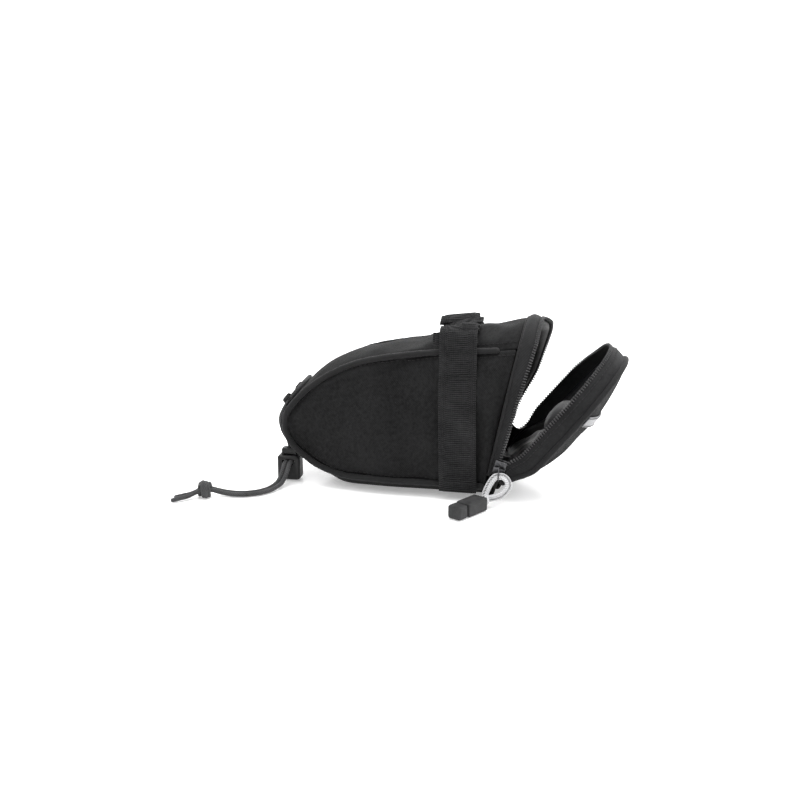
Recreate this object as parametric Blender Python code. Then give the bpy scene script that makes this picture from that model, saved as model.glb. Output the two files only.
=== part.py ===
"""Wedge saddle bag with its rear lid unzipped, built from its separate fabric, webbing, cord and metal pieces.

Metres. +X points to the rear, where the mouth and the lid are, -X to the nose that meets the seatpost, -Y to the
left side of the bicycle and +Z up. The origin is on the floor, in the middle of the flat base.
"""

import math

import bmesh
import bpy
from mathutils import Vector

# Cloth thicknesses and gaps
FABRIC = 0.0012
FOAM = 0.0015
LINING = 0.0008
WEBBING = 0.0016
GAP = 0.0003

# Depth of the lining behind the outside of the panels
LINING_DEPTH = 0.0043

# Side outline of the bag, as X and Z along its edge piping
NOSE_X = -0.0892
NOSE_TOP_Z = 0.0440
NOSE_LOW_Z = 0.0380
BASE_Z = 0.0095
FLAT_FROM_X = -0.0320
TOP_LINE = [
    (NOSE_X, NOSE_TOP_Z), (-0.0855, 0.0525), (-0.0730, 0.0660), (-0.0570, 0.0772), (-0.0370, 0.0862),
    (-0.0100, 0.0918), (0.0200, 0.0955), (0.0540, 0.0982), (0.0686, 0.1000),
]
BASE_LINE = [
    (NOSE_X, NOSE_LOW_Z), (-0.0850, 0.0285), (-0.0755, 0.0200), (-0.0630, 0.0135), (-0.0470, 0.0098),
    (-0.0300, BASE_Z), (0.0100, BASE_Z), (0.0502, BASE_Z),
]

# Half widths along the piping, and how far each panel stands out from it
NOSE_HALF = 0.024
TOP_HALF = 0.0245
BASE_HALF = 0.0375
SIDE_BULGE = 0.0035
NOSE_CROWN = 0.0010
TOP_CROWN = 0.0040

# Mouth: two planes, the seam where the panels end and the rim where the zip teeth meet
MOUTH_HALF = 0.039
MOUTH_STRAIGHT = 0.050
MOUTH_HEIGHT = 0.107
ARCH_POWER = 2.4
SEAM_LEAN = math.radians(11.7)
SEAM_FOOT = Vector((0.0502, 0.0, BASE_Z))
PANEL_TOP = 0.0924
HINGE = Vector((0.0560, 0.0, 0.0130))
RIM_LEAN = math.radians(16.0)
LID_LEAN = math.radians(39.5)

# Piping, binding and zip
PIPING_R = 0.0019
PIPING_END_X = 0.0540
BINDING_R = 0.0010
TOOTH_DEPTH = 0.0017
TOOTH_HEIGHT = 0.0018
ZIP_LOW = 0.0065

# Lid
LID_DEPTH = 0.0140
LID_DEPTH_LOW = 0.0040
LID_DEPTH_RISE = 0.026
LID_DOME = 0.0080
LID_LOW = 0.0075
LID_CENTRE = 0.052
REFLECTOR_HEIGHT = 0.067
REFLECTOR_WIDTH = 0.008

# Rail straps
STRAP_X = (0.0180, 0.0430)
STRAP_LOW_Z = 0.0055
STRAP_TOP_Z = 0.1115
LOOP_WIDTH = 0.0155
STRAP_SLANT = 0.0025

# Elastic cord and its lock at the nose
CORD_R = 0.0015
LOCK_CENTRE = Vector((-0.0880, -0.0170, 0.0))
LOCK_SIZE = (0.0160, 0.0120, 0.0175)
LOCK_BOTTOM = 0.0004
LOCK_BORE = (0.0112, 0.0072)
LOCK_FLOOR = 0.0022
LOCK_HOLE_Z = 0.0135
LOCK_HOLE = (0.0086, 0.0040)
PLUNGER_TOP = 0.0225
PLUNGER_TRAVEL = 0.0035

# Zip slider, its pull, the reflective pull cord and the grip
SLIDER_HEIGHT = 0.0110
SLIDER_SIZE = (0.0078, 0.0085)
SLIDER_PLATE = 0.0010
SLIDER_GAP = 0.0030
BRIDGE_RISE = 0.0028
BRIDGE_BAR = 0.0010
PULL_HANG = Vector((0.0, -0.62, -0.785)).normalized()
PULL_WIRE_R = 0.00045
PULL_RING = (0.0046, 0.0029)
PULL_CORD_R = 0.0018
GRIP_ENTRY = Vector((0.0490, -0.0560, 0.0050))
GRIP_END = Vector((0.0345, -0.0795, 0.0050))
GRIP_SIZE = (0.0112, 0.0088)

# Rows of points along the large panels and across the gussets
ROWS = 16
GUSSET_STEPS = 10
SIDE_STEPS = 6


# ---------------------------------------------------------------- small maths

def mix(a, b, t):
    return a * (1 - t) + b * t


def ease(t):
    t = min(1.0, max(0.0, t))
    return t * t * (3 - 2 * t)


def flat(points):
    """X and Z pairs as vectors on the bag's middle plane."""
    return [Vector((x, 0.0, z)) for x, z in points]


def smooth_route(points, count):
    """Points at equal steps along a Catmull-Rom curve through the given ones."""
    ends = [points[0] * 2 - points[1], *points, points[-1] * 2 - points[-2]]
    fine = []
    for a, b, c, d in zip(ends, ends[1:], ends[2:], ends[3:]):
        for step in range(24):
            t = step / 24
            fine.append(0.5 * (
                2 * b + (c - a) * t + (2 * a - 5 * b + 4 * c - d) * t * t + (3 * b - a - 3 * c + d) * t ** 3
            ))
    fine.append(points[-1].copy())
    return evenly(fine, count)


def evenly(points, count):
    """Resamples a line of points to count points at equal steps."""
    lengths = [0.0]
    for a, b in zip(points, points[1:]):
        lengths.append(lengths[-1] + (b - a).length)
    result = []
    index = 0
    for step in range(count):
        target = lengths[-1] * step / (count - 1)
        while index < len(points) - 2 and lengths[index + 1] < target:
            index += 1
        span = lengths[index + 1] - lengths[index]
        t = (target - lengths[index]) / span if span else 0.0
        result.append(points[index].lerp(points[index + 1], min(1.0, t)))
    return result


def along(points, t):
    """The point a share t of the way along an evenly spaced line."""
    place = min(max(t, 0.0), 1.0) * (len(points) - 1)
    index = min(int(place), len(points) - 2)
    return points[index].lerp(points[index + 1], place - index)


TOP_POINTS = smooth_route(flat(TOP_LINE), 160)
BASE_POINTS = smooth_route(flat(BASE_LINE), 160)
for base_spot in BASE_POINTS:
    if base_spot.x > FLAT_FROM_X:
        base_spot.z = BASE_Z


def outward(points, t, up):
    """Unit normal of a side outline, pointing up or down out of the bag."""
    tangent = along(points, t + 0.01) - along(points, t - 0.01)
    normal = Vector((-tangent.z, 0.0, tangent.x)).normalized()
    return normal if (normal.z >= 0) == up else -normal


# ---------------------------------------------------------------- surfaces of the bag

def mouth_half_width(height):
    """Half width of the mouth at a height measured along its plane."""
    if height <= MOUTH_STRAIGHT:
        return MOUTH_HALF
    rise = (height - MOUTH_STRAIGHT) / (MOUTH_HEIGHT - MOUTH_STRAIGHT)
    return MOUTH_HALF * math.sqrt(max(0.0, 1 - rise ** ARCH_POWER))


def arch_height(half):
    """Height along the mouth's plane where its half width is half."""
    rise = (1 - (half / MOUTH_HALF) ** 2) ** (1 / ARCH_POWER)
    return MOUTH_STRAIGHT + (MOUTH_HEIGHT - MOUTH_STRAIGHT) * rise


def on_plane(foot, lean, y, height, out=0.0):
    """A point on a plane that leans back from its foot: y across, height up it and out along its normal."""
    return foot + Vector((
        height * math.sin(lean) + out * math.cos(lean), y, height * math.cos(lean) - out * math.sin(lean),
    ))


def top_half(v):
    return mix(mix(NOSE_HALF, TOP_HALF, ease(v / 0.4)), mouth_half_width(PANEL_TOP), ease((v - 0.65) / 0.35))


def base_half(v):
    return mix(mix(NOSE_HALF, BASE_HALF, ease(v / 0.62)), MOUTH_HALF, ease((v - 0.7) / 0.3))


def side_half(v, w):
    """Half width of the side panel, v from nose to mouth and w from base to top."""
    front = mix(base_half(v), top_half(v), w) + SIDE_BULGE * math.sin(math.pi * w) * ease(v / 0.3)
    return mix(front, mouth_half_width(PANEL_TOP * w), ease((v - 0.55) / 0.45))


def top_crown(v):
    """How far the middle of the top panel stands above its edges."""
    front = mix(NOSE_CROWN, TOP_CROWN, ease(v / 0.25))
    return mix(front, MOUTH_HEIGHT - PANEL_TOP, ease((v - 0.5) / 0.5))


def top_point(v, q, lift=0.0):
    """Top panel, v from nose to mouth and q from -1 to 1 across."""
    direction = outward(TOP_POINTS, v, up=True)
    rear = Vector((math.sin(SEAM_LEAN), 0.0, math.cos(SEAM_LEAN)))
    direction = direction.lerp(rear, ease((v - 0.6) / 0.4)).normalized()
    half = top_half(v)
    arch = (arch_height(mouth_half_width(PANEL_TOP) * abs(q)) - PANEL_TOP) / (MOUTH_HEIGHT - PANEL_TOP)
    rounded = mix(1 - q * q, arch, ease((v - 0.5) / 0.5))
    point = along(TOP_POINTS, v) + direction * (top_crown(v) * rounded + lift)
    return point + Vector((0.0, half * q, 0.0))


def base_crown(v):
    return mix(NOSE_CROWN, BASE_Z, ease((v - 0.02) / 0.30))


def base_point(v, q, lift=0.0):
    """Base panel, v from nose to mouth and q from -1 to 1 across. Its middle is flat."""
    direction = outward(BASE_POINTS, v, up=False)
    edge = max(0.0, (abs(q) - 0.55) / 0.45)
    rounded = math.cos(0.5 * math.pi * edge) ** 0.8 if edge < 1 else 0.0
    half = base_half(v)
    point = along(BASE_POINTS, v) + direction * (base_crown(v) * rounded + lift)
    return point + Vector((0.0, half * q, 0.0))


def side_point(side, v, w, lift=0.0, inset=0.0, top_inset=None):
    """Side panel of side -1 or 1, lift outwards from its surface and inset from the piping."""
    foot, head = along(BASE_POINTS, v), along(TOP_POINTS, v)
    low = foot - outward(BASE_POINTS, v, up=False) * inset
    high = head - outward(TOP_POINTS, v, up=True) * (inset if top_inset is None else top_inset)
    point = low.lerp(high, w)
    share = (point.z - foot.z) / (head.z - foot.z)
    point.y = side * (side_half(v, min(1.0, max(0.0, share))) + lift)
    return point


def share_at(points, x):
    """The share of the way along a side outline where it has that X."""
    low, high = 0.05, 1.0
    for _ in range(40):
        middle = (low + high) / 2
        if along(points, middle).x < x:
            low = middle
        else:
            high = middle
    return low


def side_y(x, z):
    """Half width of the side panel where it has that X and Z."""
    low, high = 0.05, 1.0
    for _ in range(40):
        v = (low + high) / 2
        foot = along(BASE_POINTS, v)
        head = along(TOP_POINTS, v)
        share = (z - foot.z) / (head.z - foot.z)
        if foot.x + (head.x - foot.x) * share < x:
            low = v
        else:
            high = v
    return side_half(v, share)


def top_z(x, y):
    """Height of the top panel at X and Y."""
    low, high = 0.05, 1.0
    for _ in range(40):
        v = (low + high) / 2
        point = top_point(v, y / top_half(v))
        if point.x < x:
            low = v
        else:
            high = v
    return point.z


def mouth_line(low, steps_up, steps_arch, steps_down=None):
    """(y, height) along the mouth from its low left corner, over the arch, to its low right corner."""
    rising = [(-MOUTH_HALF, mix(low, MOUTH_STRAIGHT, i / steps_up)) for i in range(steps_up)]
    arch = []
    for i in range(2 * steps_arch + 1):
        turn = math.pi * i / (2 * steps_arch)
        height = MOUTH_STRAIGHT + (MOUTH_HEIGHT - MOUTH_STRAIGHT) * math.sin(turn) ** (2 / ARCH_POWER)
        arch.append((-MOUTH_HALF * math.cos(turn), height))
    falling = [(-y, height) for y, height in reversed(rising)]
    return rising + arch + falling


def line_normals(line):
    """Outward unit normals (y, height) of a line that goes clockwise seen from the rear."""
    normals = []
    for i in range(len(line)):
        before = line[max(0, i - 1)]
        after = line[min(len(line) - 1, i + 1)]
        dy, dh = after[0] - before[0], after[1] - before[1]
        size = math.hypot(dy, dh)
        normals.append((-dh / size, dy / size))
    return normals


def lid_depth(height):
    """How deep the lid's side band is at a height up the lid."""
    return mix(LID_DEPTH_LOW, LID_DEPTH, ease(height / LID_DEPTH_RISE))


def lid_outline(inset, count):
    """Closed outline of the lid's outer panel as (y, height) pairs, inset from its edge."""
    points = []
    for y, height in mouth_line(LID_LOW + 0.012, 6, 12):
        points.append(Vector((y, height, 0.0)))
    corner = 0.012
    low_right = []
    for i in range(1, 6):
        turn = 0.5 * math.pi * i / 5
        low_right.append(Vector((
            MOUTH_HALF - corner + corner * math.cos(turn), LID_LOW + corner - corner * math.sin(turn), 0.0,
        )))
    points += low_right
    points += [Vector((-p.x, p.y, 0.0)) for p in reversed(low_right)]
    closed = evenly(points + [points[0]], count + 1)[:-1]
    if inset:
        moved = []
        for i, point in enumerate(closed):
            tangent = closed[(i + 1) % count] - closed[i - 1]
            normal = Vector((-tangent.y, tangent.x, 0.0)).normalized()
            moved.append(point - normal * inset)
        closed = moved
    return [(p.x, p.y) for p in closed]


# ---------------------------------------------------------------- building blocks

def clear_scene():
    for item in list(bpy.data.objects):
        bpy.data.objects.remove(item)


def make_material(name, colour, roughness, metallic=0.0):
    material = bpy.data.materials.new(name)
    material.use_nodes = True
    shader = material.node_tree.nodes["Principled BSDF"]
    shader.inputs["Base Color"].default_value = (*colour, 1.0)
    shader.inputs["Roughness"].default_value = roughness
    shader.inputs["Metallic"].default_value = metallic
    return material


def link(name, data, material):
    item = bpy.data.objects.new(name, data)
    bpy.context.scene.collection.objects.link(item)
    data.materials.append(material)
    return item


def add_mesh(name, points, faces, material, angle=40.0):
    mesh = bpy.data.meshes.new(name)
    mesh.from_pydata([tuple(p) for p in points], [], faces)
    shape = bmesh.new()
    shape.from_mesh(mesh)
    bmesh.ops.remove_doubles(shape, verts=shape.verts, dist=1e-6)
    bmesh.ops.recalc_face_normals(shape, faces=shape.faces)
    shape.to_mesh(mesh)
    shape.free()
    mesh.shade_smooth()
    mesh.set_sharp_from_angle(angle=math.radians(angle))
    return link(name, mesh, material)


def slab(name, outer, inner, material, wrap=False, cap=False):
    """One closed sheet between two grids of points. wrap joins each row's ends, and cap closes the first row."""
    rows, columns = len(outer), len(outer[0])
    points = [p for row in outer for p in row] + [p for row in inner for p in row]
    shift = rows * columns

    def quad(side, r, c):
        nxt = (c + 1) % columns
        base = side * shift
        return [base + r * columns + c, base + r * columns + nxt,
                base + (r + 1) * columns + nxt, base + (r + 1) * columns + c]

    spans = columns if wrap else columns - 1
    faces = []
    for r in range(rows - 1):
        for c in range(spans):
            faces.append(quad(0, r, c))
            faces.append(quad(1, r, c)[::-1])
    for r in (0, rows - 1):
        if cap and r == 0:
            faces.append(list(range(columns)))
            faces.append([shift + i for i in range(columns)][::-1])
            continue
        for c in range(spans):
            a, b = r * columns + c, r * columns + (c + 1) % columns
            faces.append([a, b, shift + b, shift + a])
    if not wrap:
        for c in (0, columns - 1):
            for r in range(rows - 1):
                a, b = r * columns + c, (r + 1) * columns + c
                faces.append([a, b, shift + b, shift + a])
    return add_mesh(name, points, faces, material)


def ribbon(name, edge_a, edge_b, thickness, material):
    """A flat strap whose two long edges follow two lines of points."""
    count = len(edge_a)
    outer = [[], []]
    inner = [[], []]
    for i in range(count):
        before, after = max(0, i - 1), min(count - 1, i + 1)
        tangent = (edge_a[after] + edge_b[after]) - (edge_a[before] + edge_b[before])
        normal = tangent.cross(edge_b[i] - edge_a[i]).normalized() * (thickness / 2)
        for row, edge in enumerate((edge_a, edge_b)):
            outer[row].append(edge[i] + normal)
            inner[row].append(edge[i] - normal)
    return slab(name, outer, inner, material)


def tube(name, points, radius, material, sides=2):
    """A cord or piping with closed ends."""
    curve = bpy.data.curves.new(name, "CURVE")
    curve.dimensions = "3D"
    curve.bevel_depth = radius
    curve.bevel_resolution = sides
    curve.use_fill_caps = True
    line = curve.splines.new("POLY")
    line.points.add(len(points) - 1)
    for item, point in zip(line.points, points):
        item.co = (*point, 1.0)
    return link(name, curve, material)


def block(name, size, centre, material, bevel=0.0, segments=3, turn=None, hidden=False):
    """A box with bevelled edges. turn is a rotation matrix about its centre."""
    mesh = bpy.data.meshes.new(name)
    shape = bmesh.new()
    bmesh.ops.create_cube(shape, size=1.0)
    bmesh.ops.scale(shape, vec=size, verts=shape.verts)
    if bevel:
        bmesh.ops.bevel(shape, geom=shape.edges[:], offset=bevel, segments=segments, profile=0.5, affect="EDGES")
    shape.to_mesh(mesh)
    shape.free()
    mesh.shade_smooth()
    mesh.set_sharp_from_angle(angle=math.radians(40))
    item = link(name, mesh, material)
    item.location = centre
    if turn is not None:
        item.rotation_euler = turn
    if hidden:
        item.hide_render = True
        item.display_type = "WIRE"
    return item


def subtract(item, *cutters):
    for cutter in cutters:
        modifier = item.modifiers.new(cutter.name, "BOOLEAN")
        modifier.operation = "DIFFERENCE"
        modifier.object = cutter


# ---------------------------------------------------------------- bag body

def side_panel(name, side, material, lift=0.0, thickness=FABRIC, inset=PIPING_R + GAP, first=0.04, last=0.988):
    """A side panel, or the foam behind it, as a sheet between the piping lines."""
    outer, inner = [], []
    for r in range(ROWS + 1):
        v = mix(first, last, r / ROWS)
        edge = inset if along(TOP_POINTS, v).x < PIPING_END_X + PIPING_R else max(inset - PIPING_R, GAP)
        for rows, shift in ((outer, thickness / 2), (inner, -thickness / 2)):
            rows.append([
                side_point(side, v, w / SIDE_STEPS, lift + shift, inset, edge) for w in range(SIDE_STEPS + 1)
            ])
    return slab(name, outer, inner, material)


def gusset_row(point, half, v, edge, lift):
    share = (half - edge) / half
    return [point(v, share * (2 * c / GUSSET_STEPS - 1), lift) for c in range(GUSSET_STEPS + 1)]


def top_panel(material):
    outer, inner = [], []
    for r in range(ROWS + 1):
        v = mix(0.003, 0.99, r / ROWS)
        edge = PIPING_R + GAP if along(TOP_POINTS, v).x < PIPING_END_X else GAP
        outer.append(gusset_row(top_point, top_half(v), v, edge, FABRIC / 2))
        inner.append(gusset_row(top_point, top_half(v), v, edge, -FABRIC / 2))
    return slab("top_panel", outer, inner, material)


def base_panel(material):
    """The base and the lower nose. Its first rows are upright and flat, where the seatpost leans."""
    edge = PIPING_R + GAP
    outer, inner = [], []
    for z in (NOSE_TOP_Z, NOSE_LOW_Z):
        for rows, lift in ((outer, 0.0), (inner, -FABRIC)):
            row = gusset_row(base_point, NOSE_HALF, 0.0, edge, lift)
            for point in row:
                point.z = z
            rows.append(row)
    for r in range(1, ROWS + 1):
        v = mix(0.0, 0.99, r / ROWS)
        outer.append(gusset_row(base_point, base_half(v), v, edge, 0.0))
        inner.append(gusset_row(base_point, base_half(v), v, edge, -FABRIC))
    return slab("base_panel", outer, inner, material)


def piping(name, side, material):
    """Edge piping from the mouth's foot, round the nose and back along the top."""
    route = []
    for step in range(20, -1, -1):
        v = step / 20
        point = along(BASE_POINTS, v).copy()
        point.y = side * base_half(v)
        if point.x < 0.047:
            route.append(point)
    for step in range(1, 26):
        v = step / 26
        point = along(TOP_POINTS, v).copy()
        point.y = side * top_half(v)
        if point.x < PIPING_END_X:
            route.append(point)
    return tube(name, route, PIPING_R, material, sides=1)


def hinge_strip(material):
    """The folded cloth that joins the base to the lid, curled round the hinge line."""
    start, end = math.radians(175), math.radians(300)
    outer, inner = [], []
    for r in range(9):
        turn = mix(start, end, r / 8)
        for rows, radius in ((outer, 0.0042), (inner, 0.0030)):
            x, z = radius * math.cos(turn), radius * math.sin(turn)
            rows.append([HINGE + Vector((x, y, z)) for y in (-0.036, 0.036)])
    return slab("hinge_strip", outer, inner, material)


def hinge_apron(material):
    """The upturned rear edge of the base, up to the hinge."""
    profile = smooth_route(flat([(0.0497, 0.0006), (0.0525, 0.0018), (0.0548, 0.0045), (0.0553, 0.0080)]), 7)
    outer, inner = [], []
    for i, point in enumerate(profile):
        tangent = profile[min(6, i + 1)] - profile[max(0, i - 1)]
        normal = Vector((tangent.z, 0.0, -tangent.x)).normalized() * (FABRIC / 2)
        for rows, offset in ((outer, normal), (inner, -normal)):
            rows.append([point + offset + Vector((0.0, y, 0.0)) for y in (-0.033, -0.015, 0.015, 0.033)])
    return slab("hinge_apron", outer, inner, material)


def bag_lining(material):
    """The pouch of lining cloth inside the panels, open at the mouth."""
    outer, inner = [], []
    for r in range(10):
        v = mix(0.12, 0.975, r / 9)
        for rows, lift in ((outer, -LINING_DEPTH), (inner, -LINING_DEPTH - LINING)):
            row = [base_point(v, 0.82 * (1 - c / 3), lift) for c in range(7)]
            row += [side_point(-1, v, 0.10 + 0.80 * c / 4, lift) for c in range(5)]
            row += [top_point(v, 0.74 * (c / 3 - 1), lift) for c in range(7)]
            row += [side_point(1, v, 0.90 - 0.80 * c / 4, lift) for c in range(5)]
            if r == 0:
                row = [p + Vector((0.0010 if rows is inner else 0.0, 0.0, 0.0)) for p in row]
            rows.append(row)
    return slab("bag_lining", outer, inner, material, wrap=True, cap=True)


def base_board(material):
    """The stiff board that keeps the base flat."""
    return block("base_board", (0.070, 0.036, 0.0014), Vector((0.006, 0.0, 0.0024)), material, bevel=0.0004,
                 segments=1)


# ---------------------------------------------------------------- mouth, zip and lid

def band(name, line, near, far, thickness, material):
    """A strip that follows a line round the mouth. near and far turn (y, height, lift) into its two edges."""
    outer = [[], []]
    inner = [[], []]
    for (y, height), (ny, nh) in zip(line, line_normals(line)):
        for row, place in enumerate((near, far)):
            for rows, lift in ((outer, thickness / 2), (inner, -thickness / 2)):
                rows[row].append(place(y + ny * lift, height + nh * lift, height))
    return slab(name, outer, inner, material)


def on_seam(y, height, out=0.0):
    return on_plane(SEAM_FOOT, SEAM_LEAN, y, height, out)


def on_rim(y, height, out=0.0):
    return on_plane(HINGE, RIM_LEAN, y, height, out)


def on_lid(y, height, out=0.0):
    return on_plane(HINGE, LID_LEAN, y, height, out)


def mouth_binding(material):
    line = mouth_line(0.010, 5, 12)
    return tube("mouth_binding", [on_seam(y, height) for y, height in line], BINDING_R, material, sides=1)


def body_zip_tape(material):
    line = mouth_line(ZIP_LOW + 0.006, 6, 12)

    def near(y, height, place):
        seam, rim = on_seam(y, height), on_rim(y, height)
        return seam + (rim - seam).normalized() * (BINDING_R + GAP)

    def far(y, height, place):
        return on_rim(y, height, -TOOTH_DEPTH - 2 * GAP)

    return band("body_zip_tape", line, near, far, FABRIC, material)


def zip_teeth(name, plane, side, material, low):
    line = mouth_line(low, 8, 14)

    def near(y, height, place):
        return plane(y, height, side * GAP)

    def far(y, height, place):
        return plane(y, height, side * (TOOTH_DEPTH + GAP))

    return band(name, line, near, far, TOOTH_HEIGHT, material)


def lid_band(material):
    """The lid's side band, from its zip teeth to the piping of the outer panel."""
    line = mouth_line(LID_LOW + 0.012, 6, 12)

    def near(y, height, place):
        return on_lid(y, height, TOOTH_DEPTH + 2 * GAP)

    def far(y, height, place):
        return on_lid(y, height, lid_depth(place) - PIPING_R - GAP)

    return band("lid_band", line, near, far, FABRIC, material)


def lid_piping(material):
    outline = lid_outline(0.0, 48)
    start = max(range(48), key=lambda i: -outline[i][1] - abs(outline[i][0]) * 0.01)
    turned = outline[start:] + outline[:start]
    route = [on_lid(y, height, lid_depth(height)) for y, height in turned[1:]]
    return tube("lid_piping", route, PIPING_R, material, sides=1)


def lid_sheet(name, material, inset, lift, thickness, dome=LID_DOME, rings=5, count=28):
    """A domed sheet inside the lid's outline, such as its outer panel, its foam or its lining."""
    outline = lid_outline(inset, count)
    outer, inner = [], []
    for r in range(rings):
        share = 1 - 0.82 * (r / (rings - 1))
        for rows, offset in ((outer, lift), (inner, lift - thickness)):
            row = []
            for y, height in outline:
                here_y = y * share
                here_h = mix(LID_CENTRE, height, share)
                depth = lid_depth(here_h) if share > 0.99 else mix(LID_DEPTH, lid_depth(height), share)
                row.append(on_lid(here_y, here_h, depth + dome * (1 - share * share) + offset))
            rows.append(row)
    return slab(name, outer[::-1], inner[::-1], material, wrap=True, cap=True)


def reflective_strip(material):
    """A reflective strip sewn across the lid's outer panel."""
    low, high = REFLECTOR_HEIGHT - REFLECTOR_WIDTH / 2, REFLECTOR_HEIGHT + REFLECTOR_WIDTH / 2
    edges = [[], []]
    for i in range(13):
        y = mix(-0.0300, 0.0300, i / 12)
        for edge, height in zip(edges, (low, high)):
            share = min(1.0, math.hypot(y / mouth_half_width(height), (height - LID_CENTRE) / 0.055))
            edge.append(on_lid(y, height, LID_DEPTH + LID_DOME * (1 - share * share) + 0.0016 + 0.001 * share))
    return ribbon("reflective_strip", edges[0], edges[1], 0.0006, material)


def lid_pocket(material):
    """The slack inner pocket on the lower half of the lid's lining."""
    outer, inner = [], []
    for r in range(7):
        height = mix(0.016, 0.060, r / 6)
        for rows, offset in ((outer, 0.0), (inner, LINING)):
            row = []
            for c in range(11):
                q = 2 * c / 10 - 1
                slack = 0.0045 * math.cos(0.5 * math.pi * q) * math.sin(math.pi * min(1.0, 0.35 + 0.5 * r / 6))
                row.append(on_lid(0.030 * q, height, lid_depth(height) - 0.0075 - slack + offset))
            rows.append(row)
    return slab("lid_pocket", outer, inner, material)


# ---------------------------------------------------------------- rail straps

def strap_clearance(z):
    """How far the side panel bulges past a straight line between the strap's two edges."""
    front, rear = (side_y(x, z) for x in STRAP_X)
    return max(side_y(mix(*STRAP_X, t / 6), z) - mix(front, rear, t / 6) for t in range(7))


def strap_edge(side, x, skew):
    """One long edge of a rail strap: up the side, over in a loop and down to the top panel."""
    half = WEBBING / 2 + GAP + FABRIC / 2
    beside_piping = PIPING_R + GAP + WEBBING / 2 + 0.0006
    low_y = base_half(share_at(BASE_POINTS, x)) + beside_piping
    points = [Vector((x + STRAP_SLANT, low_y, z)) for z in (STRAP_LOW_Z, BASE_Z, 0.0125)]
    for z in (0.019, 0.032, 0.046, 0.060, 0.072, 0.082, 0.0915):
        here = x + STRAP_SLANT * (1 - z / STRAP_TOP_Z)
        points.append(Vector((here, side_y(here, z) + strap_clearance(z) + half + 0.0008, z)))
    high_y = top_half(share_at(TOP_POINTS, x)) + beside_piping
    points.append(Vector((x, high_y, 0.0970)))
    points.append(Vector((x + skew * 0.2, high_y, 0.1020)))
    centre_y, radius = high_y - LOOP_WIDTH / 2, LOOP_WIDTH / 2
    for i in range(6):
        turn = math.pi * (0.08 + 0.84 * i / 5)
        points.append(Vector((
            x + skew, centre_y + radius * math.cos(turn), STRAP_TOP_Z - 0.0055 + 0.0055 * math.sin(turn),
        )))
    sewn_z = max(top_z(x, centre_y - radius + 0.001), top_z(x, centre_y - radius - 0.007))
    points.append(Vector((x + skew * 0.3, centre_y - radius - 0.0006, sewn_z + half + 0.0022)))
    points.append(Vector((x, centre_y - radius - 0.0050, sewn_z + half + 0.0008)))
    end_y = centre_y - radius - 0.0100
    points.append(Vector((x, end_y, max(sewn_z, top_z(x, end_y)) + half + 0.0004)))
    return [Vector((p.x, side * p.y, p.z)) for p in smooth_route(points, 40)]


def rail_strap(name, side, skew, material):
    return ribbon(name, strap_edge(side, STRAP_X[0], skew), strap_edge(side, STRAP_X[1], skew), WEBBING, material)


def strap_patch(name, side, material):
    """The hook-and-loop tab inside the loop that closes it round a saddle rail."""
    y = top_half(0.7) + PIPING_R + GAP + WEBBING + GAP + 0.0008
    edges = []
    for x, drop in ((STRAP_X[0] - 0.0030, 0.0020), (STRAP_X[1] - 0.0030, 0.0)):
        edges.append([Vector((x, side * (y - 0.0042), z - drop)) for z in (0.1020, 0.1045, 0.1070, 0.1095)])
    return ribbon(name, edges[0], edges[1], 0.0010, material)


# ---------------------------------------------------------------- nose: elastic cord, tabs and lock

def lock_point(x, y, z):
    return LOCK_CENTRE + Vector((x, y, z))


def elastic_loop(material):
    """The elastic that goes round the seatpost, up the nose, across and back into the lock."""
    hole = LOCK_HOLE_Z
    front = -LOCK_SIZE[1] / 2
    step = CORD_R + 0.00018
    points = [
        lock_point(-step, front + GAP, hole), lock_point(-step, 0.0, hole),
        lock_point(-step, 0.0060, hole + 0.0004),
        Vector((-0.0905, -0.0068, 0.0175)), Vector((-0.0915, -0.0082, 0.0255)), Vector((-0.0940, -0.0130, 0.0345)),
        Vector((-0.0946, -0.0165, 0.0440)), Vector((-0.0912, -0.0170, 0.0525)), Vector((-0.0855, -0.0160, 0.0600)),
        Vector((-0.0800, -0.0105, 0.0660)), Vector((-0.0785, 0.0, 0.0678)), Vector((-0.0800, 0.0105, 0.0660)),
        Vector((-0.0855, 0.0160, 0.0600)), Vector((-0.0912, 0.0170, 0.0525)), Vector((-0.0946, 0.0165, 0.0440)),
        Vector((-0.0940, 0.0145, 0.0345)), Vector((-0.0910, 0.0100, 0.0235)), Vector((-0.0870, 0.0020, 0.0160)),
        lock_point(step, 0.0100, hole + 0.0010), lock_point(step, 0.0050, hole), lock_point(step, 0.0, hole),
        lock_point(step, front + GAP, hole),
    ]
    return tube("elastic_loop", smooth_route(points, 52), CORD_R, material)


TAIL_ROUTE = [
    (-0.0880, -0.0236, 0.0134), (-0.0881, -0.0262, 0.0128), (-0.0884, -0.0300, 0.0098), (-0.0892, -0.0335, 0.0060),
    (-0.0904, -0.0380, 0.0034), (-0.0922, -0.0430, 0.0024), (-0.0952, -0.0490, 0.0019), (-0.1000, -0.0545, 0.0018),
    (-0.1070, -0.0585, 0.0018), (-0.1140, -0.0598, 0.0018), (-0.1205, -0.0600, 0.0022), (-0.1262, -0.0612, 0.0036),
    (-0.1285, -0.0622, 0.0044),
]
KNOT_CENTRE = Vector((-0.1333, -0.0650, 0.0052))
KNOT_RADIUS = 0.0043


def tail_route(side):
    """The centreline of one elastic tail, half a cord's width to one side of the pair's middle."""
    middle = [Vector(p) for p in TAIL_ROUTE]
    route = []
    for i, point in enumerate(middle):
        ahead = middle[min(len(middle) - 1, i + 1)] - middle[max(0, i - 1)]
        across = Vector((-ahead.y, ahead.x, 0.0)).normalized()
        route.append(point + across * (side * (CORD_R + 0.00018)))
    return route


def elastic_tail(name, side, material):
    return tube(name, smooth_route(tail_route(side), 22), CORD_R, material)


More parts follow.
